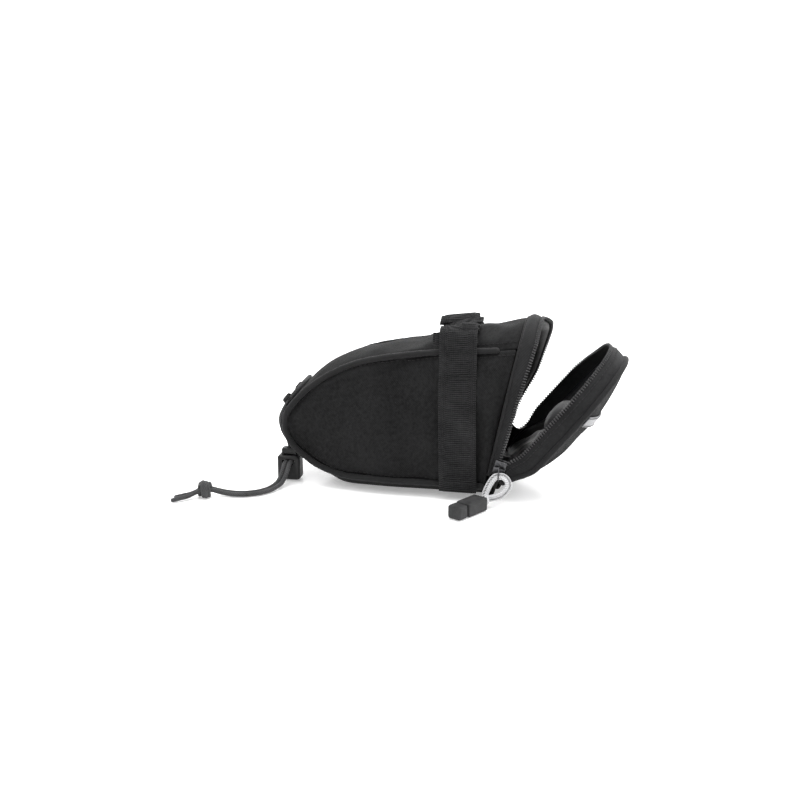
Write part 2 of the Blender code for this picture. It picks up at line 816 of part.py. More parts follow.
def cord_knot(material):
    """The overhand knot that ties the two tails together, as one solid."""
    mesh = bpy.data.meshes.new("cord_knot")
    shape = bmesh.new()
    bmesh.ops.create_icosphere(shape, subdivisions=2, radius=KNOT_RADIUS)
    bmesh.ops.scale(shape, vec=(1.1, 1.0, 1.05), verts=shape.verts)
    shape.to_mesh(mesh)
    shape.free()
    mesh.shade_smooth()
    item = link("cord_knot", mesh, material)
    item.location = KNOT_CENTRE
    return item


def tail_end(name, side, material):
    """One short cut end beyond the knot."""
    start = Vector((-0.1386, -0.0675 - side * 0.0017, 0.0042))
    bend = Vector((-0.1430, -0.0702 - side * 0.0020, 0.0026))
    tip = Vector((-0.1515, -0.0768 - side * 0.0030, 0.0018))
    return tube(name, smooth_route([start, bend, (bend + tip) / 2 + Vector((0, 0, -0.0004)), tip], 8), CORD_R, material)


def nose_tab(name, side, material):
    """A small webbing loop on the nose that the elastic passes through."""
    edges = []
    middle = Vector((-0.0880, side * 0.0165, 0.0565))
    slope = Vector((0.62, 0.0, 0.78)).normalized()
    normal = Vector((-0.78, 0.0, 0.62)).normalized()
    across = (
        (-0.0058, -0.0013), (-0.0034, -0.0010), (-0.0025, 0.0016), (0.0, 0.0029), (0.0025, 0.0016), (0.0034, -0.0010),
        (0.0058, -0.0013),
    )
    for shift in (-0.0030, 0.0030):
        edges.append([
            middle + slope * shift + normal * up + Vector((0.0, y, 0.0)) for y, up in across
        ])
    return ribbon(name, edges[0], edges[1], 0.0008, material)


def cord_lock_barrel(material, helper):
    size_x, size_y, size_z = LOCK_SIZE
    barrel = block("cord_lock_barrel", LOCK_SIZE, LOCK_CENTRE + Vector((0, 0, LOCK_BOTTOM + size_z / 2)), material,
                   bevel=0.0022)
    bore_z = (LOCK_BOTTOM + LOCK_FLOOR + 0.030) / 2
    bore = block("cord_lock_bore_cut", (LOCK_BORE[0], LOCK_BORE[1], 0.030 - LOCK_BOTTOM - LOCK_FLOOR),
                 LOCK_CENTRE + Vector((0, 0, bore_z)), helper, bevel=0.0012, segments=2, hidden=True)
    hole = block("cord_lock_hole_cut", (LOCK_HOLE[0], 0.030, LOCK_HOLE[1]),
                 LOCK_CENTRE + Vector((0, 0, LOCK_HOLE_Z)), helper, bevel=0.0012, segments=2, hidden=True)
    subtract(barrel, bore, hole)
    return barrel


def cord_lock_plunger(material, helper):
    """The push button: a stem in the bore with a tall window for the cords, and a wider head."""
    foot = LOCK_HOLE_Z - 0.0040
    stem_x, stem_y = LOCK_BORE[0] - 2 * GAP, LOCK_BORE[1] - 2 * GAP
    plunger = block("cord_lock_plunger", (stem_x, stem_y, PLUNGER_TOP - foot),
                    LOCK_CENTRE + Vector((0, 0, (PLUNGER_TOP + foot) / 2)), material, bevel=0.0010)
    window_low = LOCK_HOLE_Z - CORD_R - GAP
    window_high = LOCK_HOLE_Z + CORD_R + GAP + PLUNGER_TRAVEL
    window = block("plunger_window_cut", (LOCK_HOLE[0], 0.030, window_high - window_low),
                   LOCK_CENTRE + Vector((0, 0, (window_low + window_high) / 2)), helper, bevel=0.0008, segments=2,
                   hidden=True)
    subtract(plunger, window)
    return plunger


def lock_spring(material):
    """The coil spring under the plunger."""
    low = LOCK_BOTTOM + LOCK_FLOOR + 0.0008
    high = LOCK_HOLE_Z - 0.0040 - 0.0008
    route = []
    steps = 40
    for i in range(steps + 1):
        turn = 2 * math.pi * 4 * i / steps
        route.append(lock_point(0.0024 * math.cos(turn), 0.0024 * math.sin(turn), mix(low, high, i / steps)))
    return tube("lock_spring", route, 0.0004, material, sides=0)


# ---------------------------------------------------------------- zip slider, pull and grip

def slider_frame():
    """Origin and the rear, outward and upward directions of the slider on the rim's left side."""
    origin = on_rim(-MOUTH_HALF, SLIDER_HEIGHT)
    rear = Vector((math.cos(RIM_LEAN), 0.0, -math.sin(RIM_LEAN)))
    up = Vector((math.sin(RIM_LEAN), 0.0, math.cos(RIM_LEAN)))
    return origin, rear, up


def zip_slider(material):
    """Two plates over and under the chains, joined at the middle by a thin post, with a bridge for the pull."""
    origin, rear, up = slider_frame()
    plate = SLIDER_GAP / 2 + SLIDER_PLATE / 2
    size = (SLIDER_SIZE[0], SLIDER_PLATE, SLIDER_SIZE[1])
    turn = (0.0, RIM_LEAN, 0.0)
    foot = Vector((0.0, -plate - BRIDGE_RISE / 2, 0.0))
    bar = Vector((0.0, -plate - BRIDGE_RISE, 0.0))
    body = block("zip_slider", size, origin + Vector((0, -plate, 0)), material, bevel=0.0003, segments=1, turn=turn)
    others = [
        block("slider_inner_plate", size, origin + Vector((0, plate, 0)), material, bevel=0.0003, segments=1,
              turn=turn, hidden=True),
        block("slider_post", (0.0004, 2 * plate, 0.0022), origin - up * 0.0028, material, turn=turn, hidden=True),
        block("bridge_front", (0.0010, BRIDGE_RISE, BRIDGE_BAR), origin + foot - rear * 0.0027, material, turn=turn,
              hidden=True),
        block("bridge_rear", (0.0010, BRIDGE_RISE, BRIDGE_BAR), origin + foot + rear * 0.0027, material, turn=turn,
              hidden=True),
        block("bridge_bar", (0.0064, BRIDGE_BAR, BRIDGE_BAR), origin + bar, material, turn=turn, hidden=True),
    ]
    for other in others:
        modifier = body.modifiers.new(other.name, "BOOLEAN")
        modifier.operation = "UNION"
        modifier.object = other
    return body


def pull_pivot():
    """Middle of the slider's bridge bar, which the pull ring turns about."""
    origin, rear, up = slider_frame()
    return origin + Vector((0.0, -SLIDER_GAP / 2 - SLIDER_PLATE / 2 - BRIDGE_RISE, 0.0))


def pull_tab(material):
    """The small metal ring that hangs from the slider's bridge and holds the pull cord."""
    across = PULL_HANG.cross(Vector((1.0, 0.0, 0.0))).normalized()
    half_height, half_width = PULL_RING
    count = 20
    middle = pull_pivot() + PULL_HANG * (half_height - 0.0013)
    route = []
    for i in range(count):
        turn = 2 * math.pi * (i + 0.5) / count
        squarer = abs(math.sin(turn)) ** 0.7 * (1 if math.sin(turn) > 0 else -1)
        route.append(middle + PULL_HANG * (half_height * math.cos(turn)) + across * (half_width * squarer))
    route.append(route[-1].lerp(route[0], 0.55))
    return tube("pull_tab", route, PULL_WIRE_R, material, sides=1)


def cord_join():
    """Where the pull cord goes through the metal ring."""
    return pull_pivot() + PULL_HANG * 0.0051


def pull_cord_route():
    """Centreline of the reflective loop, from the grip up one leg, through the ring and down the other."""
    top = cord_join()
    axis = (GRIP_END - GRIP_ENTRY).normalized()
    across = Vector((-axis.y, axis.x, 0.0))
    start = GRIP_ENTRY + across * 0.0021 - axis * GAP
    finish = GRIP_ENTRY - across * 0.0021 - axis * GAP
    return [
        start, start - axis * 0.0020, Vector((0.0493, -0.0510, 0.0062)), Vector((0.0505, -0.0488, 0.0105)),
        Vector((0.0530, -0.0470, 0.0155)), top + Vector((-0.0030, -0.0002, -0.0008)), top,
        top + Vector((0.0032, 0.0, -0.0010)), Vector((0.0652, -0.0480, 0.0150)), Vector((0.0656, -0.0498, 0.0105)),
        Vector((0.0628, -0.0515, 0.0068)), Vector((0.0578, -0.0528, 0.0052)), finish - axis * 0.0020, finish,
    ]


def pull_cord(material):
    return tube("pull_cord", smooth_route(pull_cord_route(), 36), PULL_CORD_R, material)


def grip_parts(sleeve_material, cap_material):
    """The moulded grip: a square sleeve that hides the cord's ends and the cap pushed into it."""
    axis = GRIP_END - GRIP_ENTRY
    length = axis.length
    turn = (0.0, 0.0, math.atan2(axis.y, axis.x))
    direction = axis.normalized()
    sleeve_length = length * 0.68
    sleeve = block("grip_sleeve", (sleeve_length, GRIP_SIZE[0], GRIP_SIZE[1]),
                   GRIP_ENTRY + direction * (sleeve_length / 2 + GAP) - Vector((0, 0, GRIP_ENTRY.z - 0.0047)),
                   sleeve_material, bevel=0.0010, turn=turn)
    cap_length = length - sleeve_length - GAP
    cap = block("grip_cap", (cap_length, GRIP_SIZE[0] - 0.0008, GRIP_SIZE[1]),
                GRIP_ENTRY + direction * (sleeve_length + 3 * GAP + cap_length / 2)
                - Vector((0, 0, GRIP_ENTRY.z - 0.0047)),
                cap_material, bevel=0.0016, turn=turn)
    return sleeve, cap


# ---------------------------------------------------------------- assembly

def build():
    clear_scene()
    cloth = make_material("black_cloth", (0.018, 0.018, 0.019), 0.85)
    lining_cloth = make_material("lining_cloth", (0.022, 0.022, 0.024), 0.6)
    webbing = make_material("black_webbing", (0.025, 0.025, 0.026), 0.8)
    tape = make_material("zip_tape", (0.035, 0.035, 0.036), 0.85)
    teeth = make_material("zip_teeth", (0.030, 0.030, 0.032), 0.45)
    foam = make_material("foam", (0.08, 0.08, 0.08), 0.95)
    board = make_material("stiffener_board", (0.05, 0.05, 0.05), 0.6)
    elastic = make_material("elastic_cord", (0.030, 0.030, 0.031), 0.7)
    plastic = make_material("black_plastic", (0.030, 0.030, 0.031), 0.5)
    grip = make_material("grip_rubber", (0.060, 0.060, 0.062), 0.6)
    steel = make_material("dark_steel", (0.30, 0.30, 0.31), 0.35, 1.0)
    reflective = make_material("reflective", (0.60, 0.60, 0.62), 0.4)
    helper = make_material("cutter", (0.5, 0.5, 0.5), 0.5)

    for name, side in (("left", -1), ("right", 1)):
        side_panel(f"side_panel_{name}", side, cloth)
        side_panel(f"side_foam_{name}", side, foam, lift=-FABRIC / 2 - GAP - FOAM / 2 - 0.0006, thickness=FOAM,
                   inset=0.0085, first=0.17, last=0.955)
        piping(f"edge_piping_{name}", side, cloth)
        rail_strap(f"rail_strap_{name}", side, -0.006 if side > 0 else 0.0, webbing)
        strap_patch(f"strap_patch_{name}", side, webbing)
        nose_tab(f"nose_tab_{name}", side, webbing)
        elastic_tail(f"elastic_tail_{name}", side, elastic)
        tail_end(f"tail_end_{name}", side, elastic)
    top_panel(cloth)
    base_panel(cloth)
    base_board(board)
    bag_lining(lining_cloth)
    hinge_apron(cloth)
    hinge_strip(cloth)
    mouth_binding(cloth)
    body_zip_tape(tape)
    zip_teeth("body_zip_teeth", on_rim, -1, teeth, ZIP_LOW + 0.006)
    zip_teeth("lid_zip_teeth", on_lid, 1, teeth, LID_LOW + 0.012)
    lid_band(tape)
    lid_piping(cloth)
    lid_sheet("lid_panel", cloth, PIPING_R + GAP, 0.0010, FABRIC)
    lid_sheet("lid_foam", foam, 0.0050, 0.0010 - FABRIC - 2 * GAP - 0.0004, FOAM)
    lid_sheet("lid_lining", lining_cloth, 0.0030, 0.0010 - FABRIC - FOAM - 4 * GAP - 0.0010, LINING)
    lid_pocket(lining_cloth)
    reflective_strip(reflective)
    elastic_loop(elastic)
    cord_knot(elastic)
    cord_lock_barrel(plastic, helper)
    cord_lock_plunger(plastic, helper)
    lock_spring(steel)
    zip_slider(steel)
    pull_tab(steel)
    pull_cord(reflective)
    grip_parts(grip, plastic)


build()
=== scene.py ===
"""Looks of the wedge saddle bag: its cloth, webbing, zip, cords and fittings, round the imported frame.

Metres, in the frame of the CAD model: +X to the rear, -Y to the left side and +Z up, with the base on the
floor.
"""

import math
import random

import bmesh
import bpy
import numpy as np
from mathutils import Matrix, Vector, noise
from mathutils.bvhtree import BVHTree


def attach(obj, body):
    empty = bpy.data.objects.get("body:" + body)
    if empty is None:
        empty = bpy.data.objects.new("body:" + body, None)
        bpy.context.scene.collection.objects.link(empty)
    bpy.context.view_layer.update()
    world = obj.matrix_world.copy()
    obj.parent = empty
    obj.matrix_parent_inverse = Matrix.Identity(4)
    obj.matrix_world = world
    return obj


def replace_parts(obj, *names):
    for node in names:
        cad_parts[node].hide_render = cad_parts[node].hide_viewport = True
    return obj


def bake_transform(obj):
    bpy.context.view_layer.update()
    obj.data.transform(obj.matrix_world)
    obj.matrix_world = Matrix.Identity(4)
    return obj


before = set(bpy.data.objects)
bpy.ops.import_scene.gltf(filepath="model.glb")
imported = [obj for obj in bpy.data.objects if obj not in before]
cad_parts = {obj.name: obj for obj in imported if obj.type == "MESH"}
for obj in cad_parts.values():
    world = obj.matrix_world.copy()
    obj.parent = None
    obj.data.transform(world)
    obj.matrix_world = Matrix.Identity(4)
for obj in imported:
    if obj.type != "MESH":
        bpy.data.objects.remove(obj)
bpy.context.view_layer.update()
random.seed(7)

# Camera
EYE = Vector((0.1286, -0.8086, 0.2750))
AIM = Vector((-0.0140, 0.0, 0.0550))
LENS = 55.8

# Side outline of the bag, as X and Z along its edge piping
NOSE_X = -0.0892
NOSE_TOP_Z = 0.0440
NOSE_LOW_Z = 0.0380
BASE_Z = 0.0095
FLAT_FROM_X = -0.0320
TOP_LINE = [
    (NOSE_X, NOSE_TOP_Z), (-0.0855, 0.0525), (-0.0730, 0.0660), (-0.0570, 0.0772), (-0.0370, 0.0862),
    (-0.0100, 0.0918), (0.0200, 0.0955), (0.0540, 0.0982), (0.0686, 0.1000),
]
BASE_LINE = [
    (NOSE_X, NOSE_LOW_Z), (-0.0850, 0.0285), (-0.0755, 0.0200), (-0.0630, 0.0135), (-0.0470, 0.0098),
    (-0.0300, BASE_Z), (0.0100, BASE_Z), (0.0502, BASE_Z),
]
NOSE_HALF = 0.024
TOP_HALF = 0.0245
BASE_HALF = 0.0375
SIDE_BULGE = 0.0035
NOSE_CROWN = 0.0032
TOP_CROWN = 0.0040

# Mouth, zip and lid
MOUTH_HALF = 0.039
MOUTH_STRAIGHT = 0.050
MOUTH_HEIGHT = 0.107
ARCH_POWER = 2.4
SEAM_LEAN = math.radians(11.7)
SEAM_FOOT = Vector((0.0502, 0.0, BASE_Z))
PANEL_TOP = 0.0924
HINGE = Vector((0.0560, 0.0, 0.0130))
RIM_LEAN = math.radians(16.0)
LID_LEAN = math.radians(39.5)
PIPING_R = 0.0019
PIPING_END_X = 0.0540
BINDING_R = 0.0011
TOOTH_DEPTH = 0.0017
TOOTH_PITCH = 0.0014
TOOTH_SIZE = (TOOTH_DEPTH * 1.35, 0.0018, 0.0007)
TOOTH_BEVEL = 0.00024
ZIP_LOW = 0.0085
LID_DEPTH = 0.0140
LID_DEPTH_LOW = 0.0040
LID_DEPTH_RISE = 0.026
LID_DOME = 0.0080
LID_LOW = 0.0015
LID_CORNER = 0.005
LID_ZIP_LOW = 0.0090
LID_CENTRE = 0.052
REFLECTOR_HEIGHT = 0.067
REFLECTOR_WIDTH = 0.008
REFLECTOR_HALF = 0.0345
POUCH_CENTRE = 0.0500
POUCH_HALF_HEIGHT = 0.0130
POUCH_HALF_Y = 0.0180

# Thickness of each cloth
PANEL_WALL = 0.0016
BASE_WALL = 0.0014
LINING_WALL = 0.0008
LINER_WALL = 0.0006
GUSSET_WALL = 0.0009
BODY_BAND_WALL = 0.0010
LID_BAND_WALL = 0.0011
STRIP_WALL = 0.0007

# Straps
WEBBING = 0.0016
RIB_PITCH = 0.0015
RIB_HEIGHT = 0.00022
STRAP_X = (0.0168, 0.0416)
STRAP_LOW_Z = 0.0055
STRAP_TOP_Z = 0.1115
STRAP_SLANT = 0.0025
LOOP_WIDTH = 0.0155

# Cords
CORD_R = 0.0015
LOCK_CENTRE = Vector((-0.0880, -0.0170, 0.0))
LOCK_HALF_Y = 0.0060
LOCK_HOLE_Z = 0.0135
CORD_APART = 0.00018
GAP = 0.0003
FABRIC = 0.0012


# ---------------------------------------------------------------- small maths

def mix(a, b, t):
    return a * (1 - t) + b * t


def ease(t):
    t = min(1.0, max(0.0, t))
    return t * t * (3 - 2 * t)


def hump(x, centre, width):
    """A smooth bump of height 1 that fades out one width either side of its centre."""
    return math.exp(-((x - centre) / (0.5 * width)) ** 2)


def flat(points):
    return [Vector((x, 0.0, z)) for x, z in points]


def evenly(points, count):
    """Resamples a line of points to count points at equal steps."""
    lengths = [0.0]
    for a, b in zip(points, points[1:]):
        lengths.append(lengths[-1] + (b - a).length)
    result = []
    index = 0
    for step in range(count):
        target = lengths[-1] * step / (count - 1)
        while index < len(points) - 2 and lengths[index + 1] < target:
            index += 1
        span = lengths[index + 1] - lengths[index]
        t = (target - lengths[index]) / span if span else 0.0
        result.append(points[index].lerp(points[index + 1], min(1.0, t)))
    return result


def smooth_route(points, count):
    """Points at equal steps along a Catmull-Rom curve through the given ones."""
    ends = [points[0] * 2 - points[1], *points, points[-1] * 2 - points[-2]]
    fine = []
    for a, b, c, d in zip(ends, ends[1:], ends[2:], ends[3:]):
        for step in range(24):
            t = step / 24
            fine.append(0.5 * (
                2 * b + (c - a) * t + (2 * a - 5 * b + 4 * c - d) * t * t + (3 * b - a - 3 * c + d) * t ** 3
            ))
    fine.append(points[-1].copy())
    return evenly(fine, count)


def grid(down, across, point_at):
    """Rows of points for a sheet. point_at takes the share of the way down and across."""
    return [[point_at(r / down, c / across) for c in range(across + 1)] for r in range(down + 1)]


def length_of(points):
    return sum((b - a).length for a, b in zip(points, points[1:]))


def ahead_at(points, i):
    """From the point before to the point after, along a line of points."""
    return points[min(len(points) - 1, i + 1)] - points[max(0, i - 1)]


def placed(x_way, y_way, z_way, spot):
    """A matrix that sets something down at spot, turned to the three given directions."""
    matrix = Matrix((x_way, y_way, z_way)).transposed().to_4x4()
    matrix.translation = spot
    return matrix


def along(points, t):
    place = min(max(t, 0.0), 1.0) * (len(points) - 1)
    index = min(int(place), len(points) - 2)
    return points[index].lerp(points[index + 1], place - index)


TOP_POINTS = smooth_route(flat(TOP_LINE), 160)
BASE_POINTS = smooth_route(flat(BASE_LINE), 160)
for base_spot in BASE_POINTS:
    if base_spot.x > FLAT_FROM_X:
        base_spot.z = BASE_Z


def outward(points, t, up):
    """The direction square to an outline in the X-Z plane, upward or downward."""
    tangent = along(points, t + 0.01) - along(points, t - 0.01)
    normal = Vector((-tangent.z, 0.0, tangent.x)).normalized()
    return normal if (normal.z >= 0) == up else -normal


# ---------------------------------------------------------------- surfaces of the bag

def mouth_half_width(height):
    if height <= MOUTH_STRAIGHT:
        return MOUTH_HALF
    rise = (height - MOUTH_STRAIGHT) / (MOUTH_HEIGHT - MOUTH_STRAIGHT)
    return MOUTH_HALF * math.sqrt(max(0.0, 1 - rise ** ARCH_POWER))


def arch_height(half):
    rise = (1 - (half / MOUTH_HALF) ** 2) ** (1 / ARCH_POWER)
    return MOUTH_STRAIGHT + (MOUTH_HEIGHT - MOUTH_STRAIGHT) * rise


def on_plane(foot, lean, y, height, out=0.0):
    """A point up a leaning plane that starts at foot, and out of it to the rear."""
    return foot + Vector((
        height * math.sin(lean) + out * math.cos(lean), y, height * math.cos(lean) - out * math.sin(lean),
    ))


def on_seam(y, height, out=0.0):
    return on_plane(SEAM_FOOT, SEAM_LEAN, y, height, out)


def on_rim(y, height, out=0.0):
    """A point on the body's zip line, whose slack cloth leans in on the left and flares on the right."""
    flare = 0.0056 * ease((height - 0.030) / 0.036) * ease((y - 0.001) / 0.018)
    flare -= 0.0010 * ease((height - 0.025) / 0.035) * ease((0.016 - y) / 0.020)
    crown = ease((height - 0.092) / 0.014)
    return on_plane(HINGE, RIM_LEAN, y, height - 0.0014 * crown, out + flare - 0.0014 * crown)


def on_lid(y, height, out=0.0):
    return on_plane(HINGE, LID_LEAN, y, height, out)


def top_half(v):
    return mix(mix(NOSE_HALF, TOP_HALF, ease(v / 0.4)), mouth_half_width(PANEL_TOP), ease((v - 0.65) / 0.35))


def base_half(v):
    return mix(mix(NOSE_HALF, BASE_HALF, ease(v / 0.62)), MOUTH_HALF, ease((v - 0.7) / 0.3))


def side_half(v, w):
    """Half the bag's width, at a share v along it and a share w up its side."""
    front = mix(base_half(v), top_half(v), w) + SIDE_BULGE * math.sin(math.pi * w) * ease(v / 0.3)
    return mix(front, mouth_half_width(PANEL_TOP * w), ease((v - 0.55) / 0.45))


def top_crown(v):
    front = mix(0.0010, TOP_CROWN, ease(v / 0.25))
    return mix(front, MOUTH_HEIGHT - PANEL_TOP, ease((v - 0.5) / 0.5))


def top_point(v, q, lift=0.0):
    """A point on the bag's top. q goes from -1 at its left edge to 1 at its right."""
    direction = outward(TOP_POINTS, v, up=True)
    rear = Vector((math.sin(SEAM_LEAN), 0.0, math.cos(SEAM_LEAN)))
    direction = direction.lerp(rear, ease((v - 0.6) / 0.4)).normalized()
    half = top_half(v)
    arch = (arch_height(mouth_half_width(PANEL_TOP) * abs(q)) - PANEL_TOP) / (MOUTH_HEIGHT - PANEL_TOP)
    rounded = mix(1 - q * q, arch, ease((v - 0.5) / 0.5))
    point = along(TOP_POINTS, v) + direction * (top_crown(v) * rounded + lift)
    return point + Vector((0.0, half * q, 0.0))


def base_crown(v):
    return mix(NOSE_CROWN, BASE_Z, ease((v - 0.20) / 0.17))


def base_point(v, q, lift=0.0):
    """A point under the bag. q goes from -1 at its left edge to 1 at its right."""
    direction = outward(BASE_POINTS, v, up=False)
    edge = max(0.0, (abs(q) - 0.55) / 0.45)
    rounded = math.cos(0.5 * math.pi * edge) ** 0.8 if edge < 1 else 0.0
    half = base_half(v)
    point = along(BASE_POINTS, v) + direction * (base_crown(v) * rounded + lift)
    return point + Vector((0.0, half * q, 0.0))


def side_point(side, v, w, lift=0.0):
    foot, head = along(BASE_POINTS, v), along(TOP_POINTS, v)
    point = foot.lerp(head, w)
    point.y = side * (side_half(v, w) + lift)
    return point


def crossing(is_before):
    """The share along the bag at which is_before turns false, found by halving."""
    low, high = 0.05, 1.0
    for _ in range(40):
        middle = (low + high) / 2
        if is_before(middle):
            low = middle
        else:
            high = middle
    return middle


def share_at(points, x):
    return crossing(lambda v: along(points, v).x < x)


def side_place(v, z):
    """X at height z on a side, at a share along it, and the share of the side's height there."""
    foot, head = along(BASE_POINTS, v), along(TOP_POINTS, v)
    share = (z - foot.z) / (head.z - foot.z)
    return foot.x + (head.x - foot.x) * share, share


def side_y(x, z):
    """The bag's half width at a place on its side."""
    v = crossing(lambda t: side_place(t, z)[0] < x)
    return side_half(v, side_place(v, z)[1])


def top_z(x, y):
    """The height of the bag's top at a place."""
    v = crossing(lambda t: top_point(t, y / top_half(t)).x < x)
    return top_point(v, y / top_half(v)).z


def mouth_line(low, steps_up, steps_arch):
    """(y, height) along the mouth from its low left corner, over the arch, to its low right corner."""
    rising = [(-MOUTH_HALF, mix(low, MOUTH_STRAIGHT, i / steps_up)) for i in range(steps_up)]
    arch = []
    for i in range(2 * steps_arch + 1):
        turn = math.pi * i / (2 * steps_arch)
        height = MOUTH_STRAIGHT + (MOUTH_HEIGHT - MOUTH_STRAIGHT) * math.sin(turn) ** (2 / ARCH_POWER)
        arch.append((-MOUTH_HALF * math.cos(turn), height))
    return rising + arch + [(-y, height) for y, height in reversed(rising)]


def even_mouth_line(low, count):
    line = [Vector((y, height, 0.0)) for y, height in mouth_line(low, 20, 60)]
    return [(p.x, p.y) for p in evenly(line, count)]


def line_normals(line):
    """The way out across a line of (y, height) pairs, at each of them."""
    normals = []
    for i in range(len(line)):
        before, after = line[max(0, i - 1)], line[min(len(line) - 1, i + 1)]
        dy, dh = after[0] - before[0], after[1] - before[1]
        size = math.hypot(dy, dh)
        normals.append((-dh / size, dy / size))
    return normals


def lid_depth(height):
    return mix(LID_DEPTH_LOW, LID_DEPTH, ease(height / LID_DEPTH_RISE))


def lid_outline(count):
    """Closed outline of the lid's outer panel as (y, height) pairs."""
    corner = LID_CORNER
    points = [Vector((y, height, 0.0)) for y, height in mouth_line(LID_LOW + corner, 12, 40)]
    low_right = []
    for i in range(1, 9):
        turn = 0.5 * math.pi * i / 8
        low_right.append(Vector((
            MOUTH_HALF - corner + corner * math.cos(turn), LID_LOW + corner - corner * math.sin(turn), 0.0,
        )))
    points += low_right
    points += [Vector((-p.x, p.y, 0.0)) for p in reversed(low_right)]
    return [(p.x, p.y) for p in evenly(points + [points[0]], count + 1)[:-1]]


# ---------------------------------------------------------------- materials

def node_tree(name):
    material = bpy.data.materials.new(name)
    material.use_nodes = True
    tree = material.node_tree
    return material, tree, tree.nodes["Principled BSDF"]


def add(tree, kind, **values):
    """A node with its settings and its unlinked sockets filled in by name."""
    node = tree.nodes.new(kind)
    for key, value in values.items():
        if key.startswith("s_"):
            node.inputs[key[2:].replace("_", " ")].default_value = value
        else:
            setattr(node, key, value)
    return node


def feed(tree, value, socket):
    """Sets a socket to a number, or links another node's output to it."""
    if isinstance(value, (int, float)):
        socket.default_value = value
    else:
        tree.links.new(value, socket)


def math_node(tree, operation, *values):
    node = add(tree, "ShaderNodeMath", operation=operation)
    for value, socket in zip(values, node.inputs):
        feed(tree, value, socket)
    return node.outputs[0]


def times(tree, a, b):
    return math_node(tree, "MULTIPLY", a, b)


def plus(tree, *terms):
    total = terms[0]
    for term in terms[1:]:
        total = math_node(tree, "ADD", total, term)
    return total


def ramp(tree, factor, low, high, low_at, high_at):
    """A colour that goes from low to high as factor goes from low_at to high_at."""
    node = add(tree, "ShaderNodeValToRGB")
    ends = node.color_ramp.elements
    for end, place, colour in ((ends[0], low_at, low), (ends[1], high_at, high)):
        end.position = place
        end.color = (*colour, 1.0)
    tree.links.new(factor, node.inputs[0])
    return node.outputs[0]


def coordinates(tree, kind):
    return add(tree, "ShaderNodeTexCoord").outputs[kind]


def noise_of(tree, where, scale, detail=3.0, roughness=0.55):
    node = add(tree, "ShaderNodeTexNoise", s_Scale=scale, s_Detail=detail, s_Roughness=roughness)
    tree.links.new(where, node.inputs["Vector"])
    return node.outputs["Fac"]


def ripple(tree, place, pitch):
    """0 to 1 and back once for each pitch along a place in metres."""
    wave = math_node(tree, "SINE", times(tree, place, 2 * math.pi / pitch))
    return plus(tree, times(tree, wave, 0.5), 0.5)


def cloth_place(tree):
    """The two UV coordinates, in metres."""
    parts = add(tree, "ShaderNodeSeparateXYZ")
    tree.links.new(coordinates(tree, "UV"), parts.inputs[0])
    return parts.outputs[0], parts.outputs[1]


def braid(tree, u, v, pitch, share):
    """Height of two sets of yarns that cross on the slant. The first is lower, by share."""
    one = ripple(tree, plus(tree, u, v), pitch)
    other = ripple(tree, math_node(tree, "SUBTRACT", u, v), pitch)
    return math_node(tree, "MAXIMUM", times(tree, one, share), other)


def yarns(tree, kind, pitch):
    """Height of woven cloth. kind is plain, twill, rib or braid, which sets how the yarns cross."""
    u, v = cloth_place(tree)
    if kind == "plain":
        over = times(tree, ripple(tree, u, pitch), ripple(tree, v, pitch))
        shifted = [ripple(tree, plus(tree, place, pitch / 2), pitch) for place in (u, v)]
        return math_node(tree, "MAXIMUM", over, times(tree, *shifted))
    if kind == "twill":
        slanted = plus(tree, u, times(tree, v, 0.7))
        lift = plus(tree, times(tree, ripple(tree, v, pitch * 0.5), 0.35), 0.65)
        return times(tree, ripple(tree, slanted, pitch), lift)
    if kind == "rib":
        lift = plus(tree, times(tree, ripple(tree, u, pitch * 0.8), 0.55), 0.45)
        return times(tree, ripple(tree, v, pitch), lift)
    return braid(tree, u, v, pitch, 0.8)


def finish_surface(tree, shader, colour, roughness, height, distance):
    """Joins colour, roughness and a bump of the given depth to the shader."""
    tree.links.new(colour, shader.inputs["Base Color"])
    feed(tree, roughness, shader.inputs["Roughness"])
    bump = add(tree, "ShaderNodeBump", s_Strength=1.0, s_Distance=distance)
    tree.links.new(height, bump.inputs["Height"])
    tree.links.new(bump.outputs[0], shader.inputs["Normal"])


def weave_material(name, dark, light, pitch, depth, kind="plain", rough=0.85, sheen=0.25, specular=0.25,
                   crumple=0.0, crumple_scale=90.0, speckle=0.35):
    """Woven cloth on UVs in metres. crumple is the depth of its soft wrinkles, speckle its uneven yarns. Its
    colour is painted lighter on the raised yarns and darker in the valleys between them, as painted highlight
    and painted shade, and also varies at random in patches.
    """
    material, tree, shader = node_tree(name)
    height = yarns(tree, kind, pitch)
    place = coordinates(tree, "Object")
    patchy = noise_of(tree, place, 45.0, 4.0)
    slub = noise_of(tree, place, 420.0, 4.0, 0.75)
    fuzz = noise_of(tree, place, 2600.0, 2.0, 0.7)
    # shade adds painted light and shade from the yarn height (lighter crests, darker valleys) to random tone
    # from patchy, slub and fuzz
    shade = plus(tree, times(tree, height, 0.40), times(tree, patchy, 0.40), times(tree, slub, speckle),
                 times(tree, fuzz, 0.20))
    shift = 0.5 * (speckle - 0.35)
    colour = ramp(tree, shade, dark, light, 0.42 + shift, 0.90 + shift)
    roughness = plus(tree, times(tree, fuzz, 0.12), rough - 0.06)
    raised = plus(tree, height, times(tree, fuzz, 0.5))
    if crumple:
        wide = noise_of(tree, place, crumple_scale, 3.0, 0.5)
        raised = plus(tree, raised, times(tree, wide, crumple / depth))
    finish_surface(tree, shader, colour, roughness, raised, depth)
    shader.inputs["Sheen Weight"].default_value = sheen
    shader.inputs["Sheen Roughness"].default_value = 0.45
    shader.inputs["Specular IOR Level"].default_value = specular
    return material


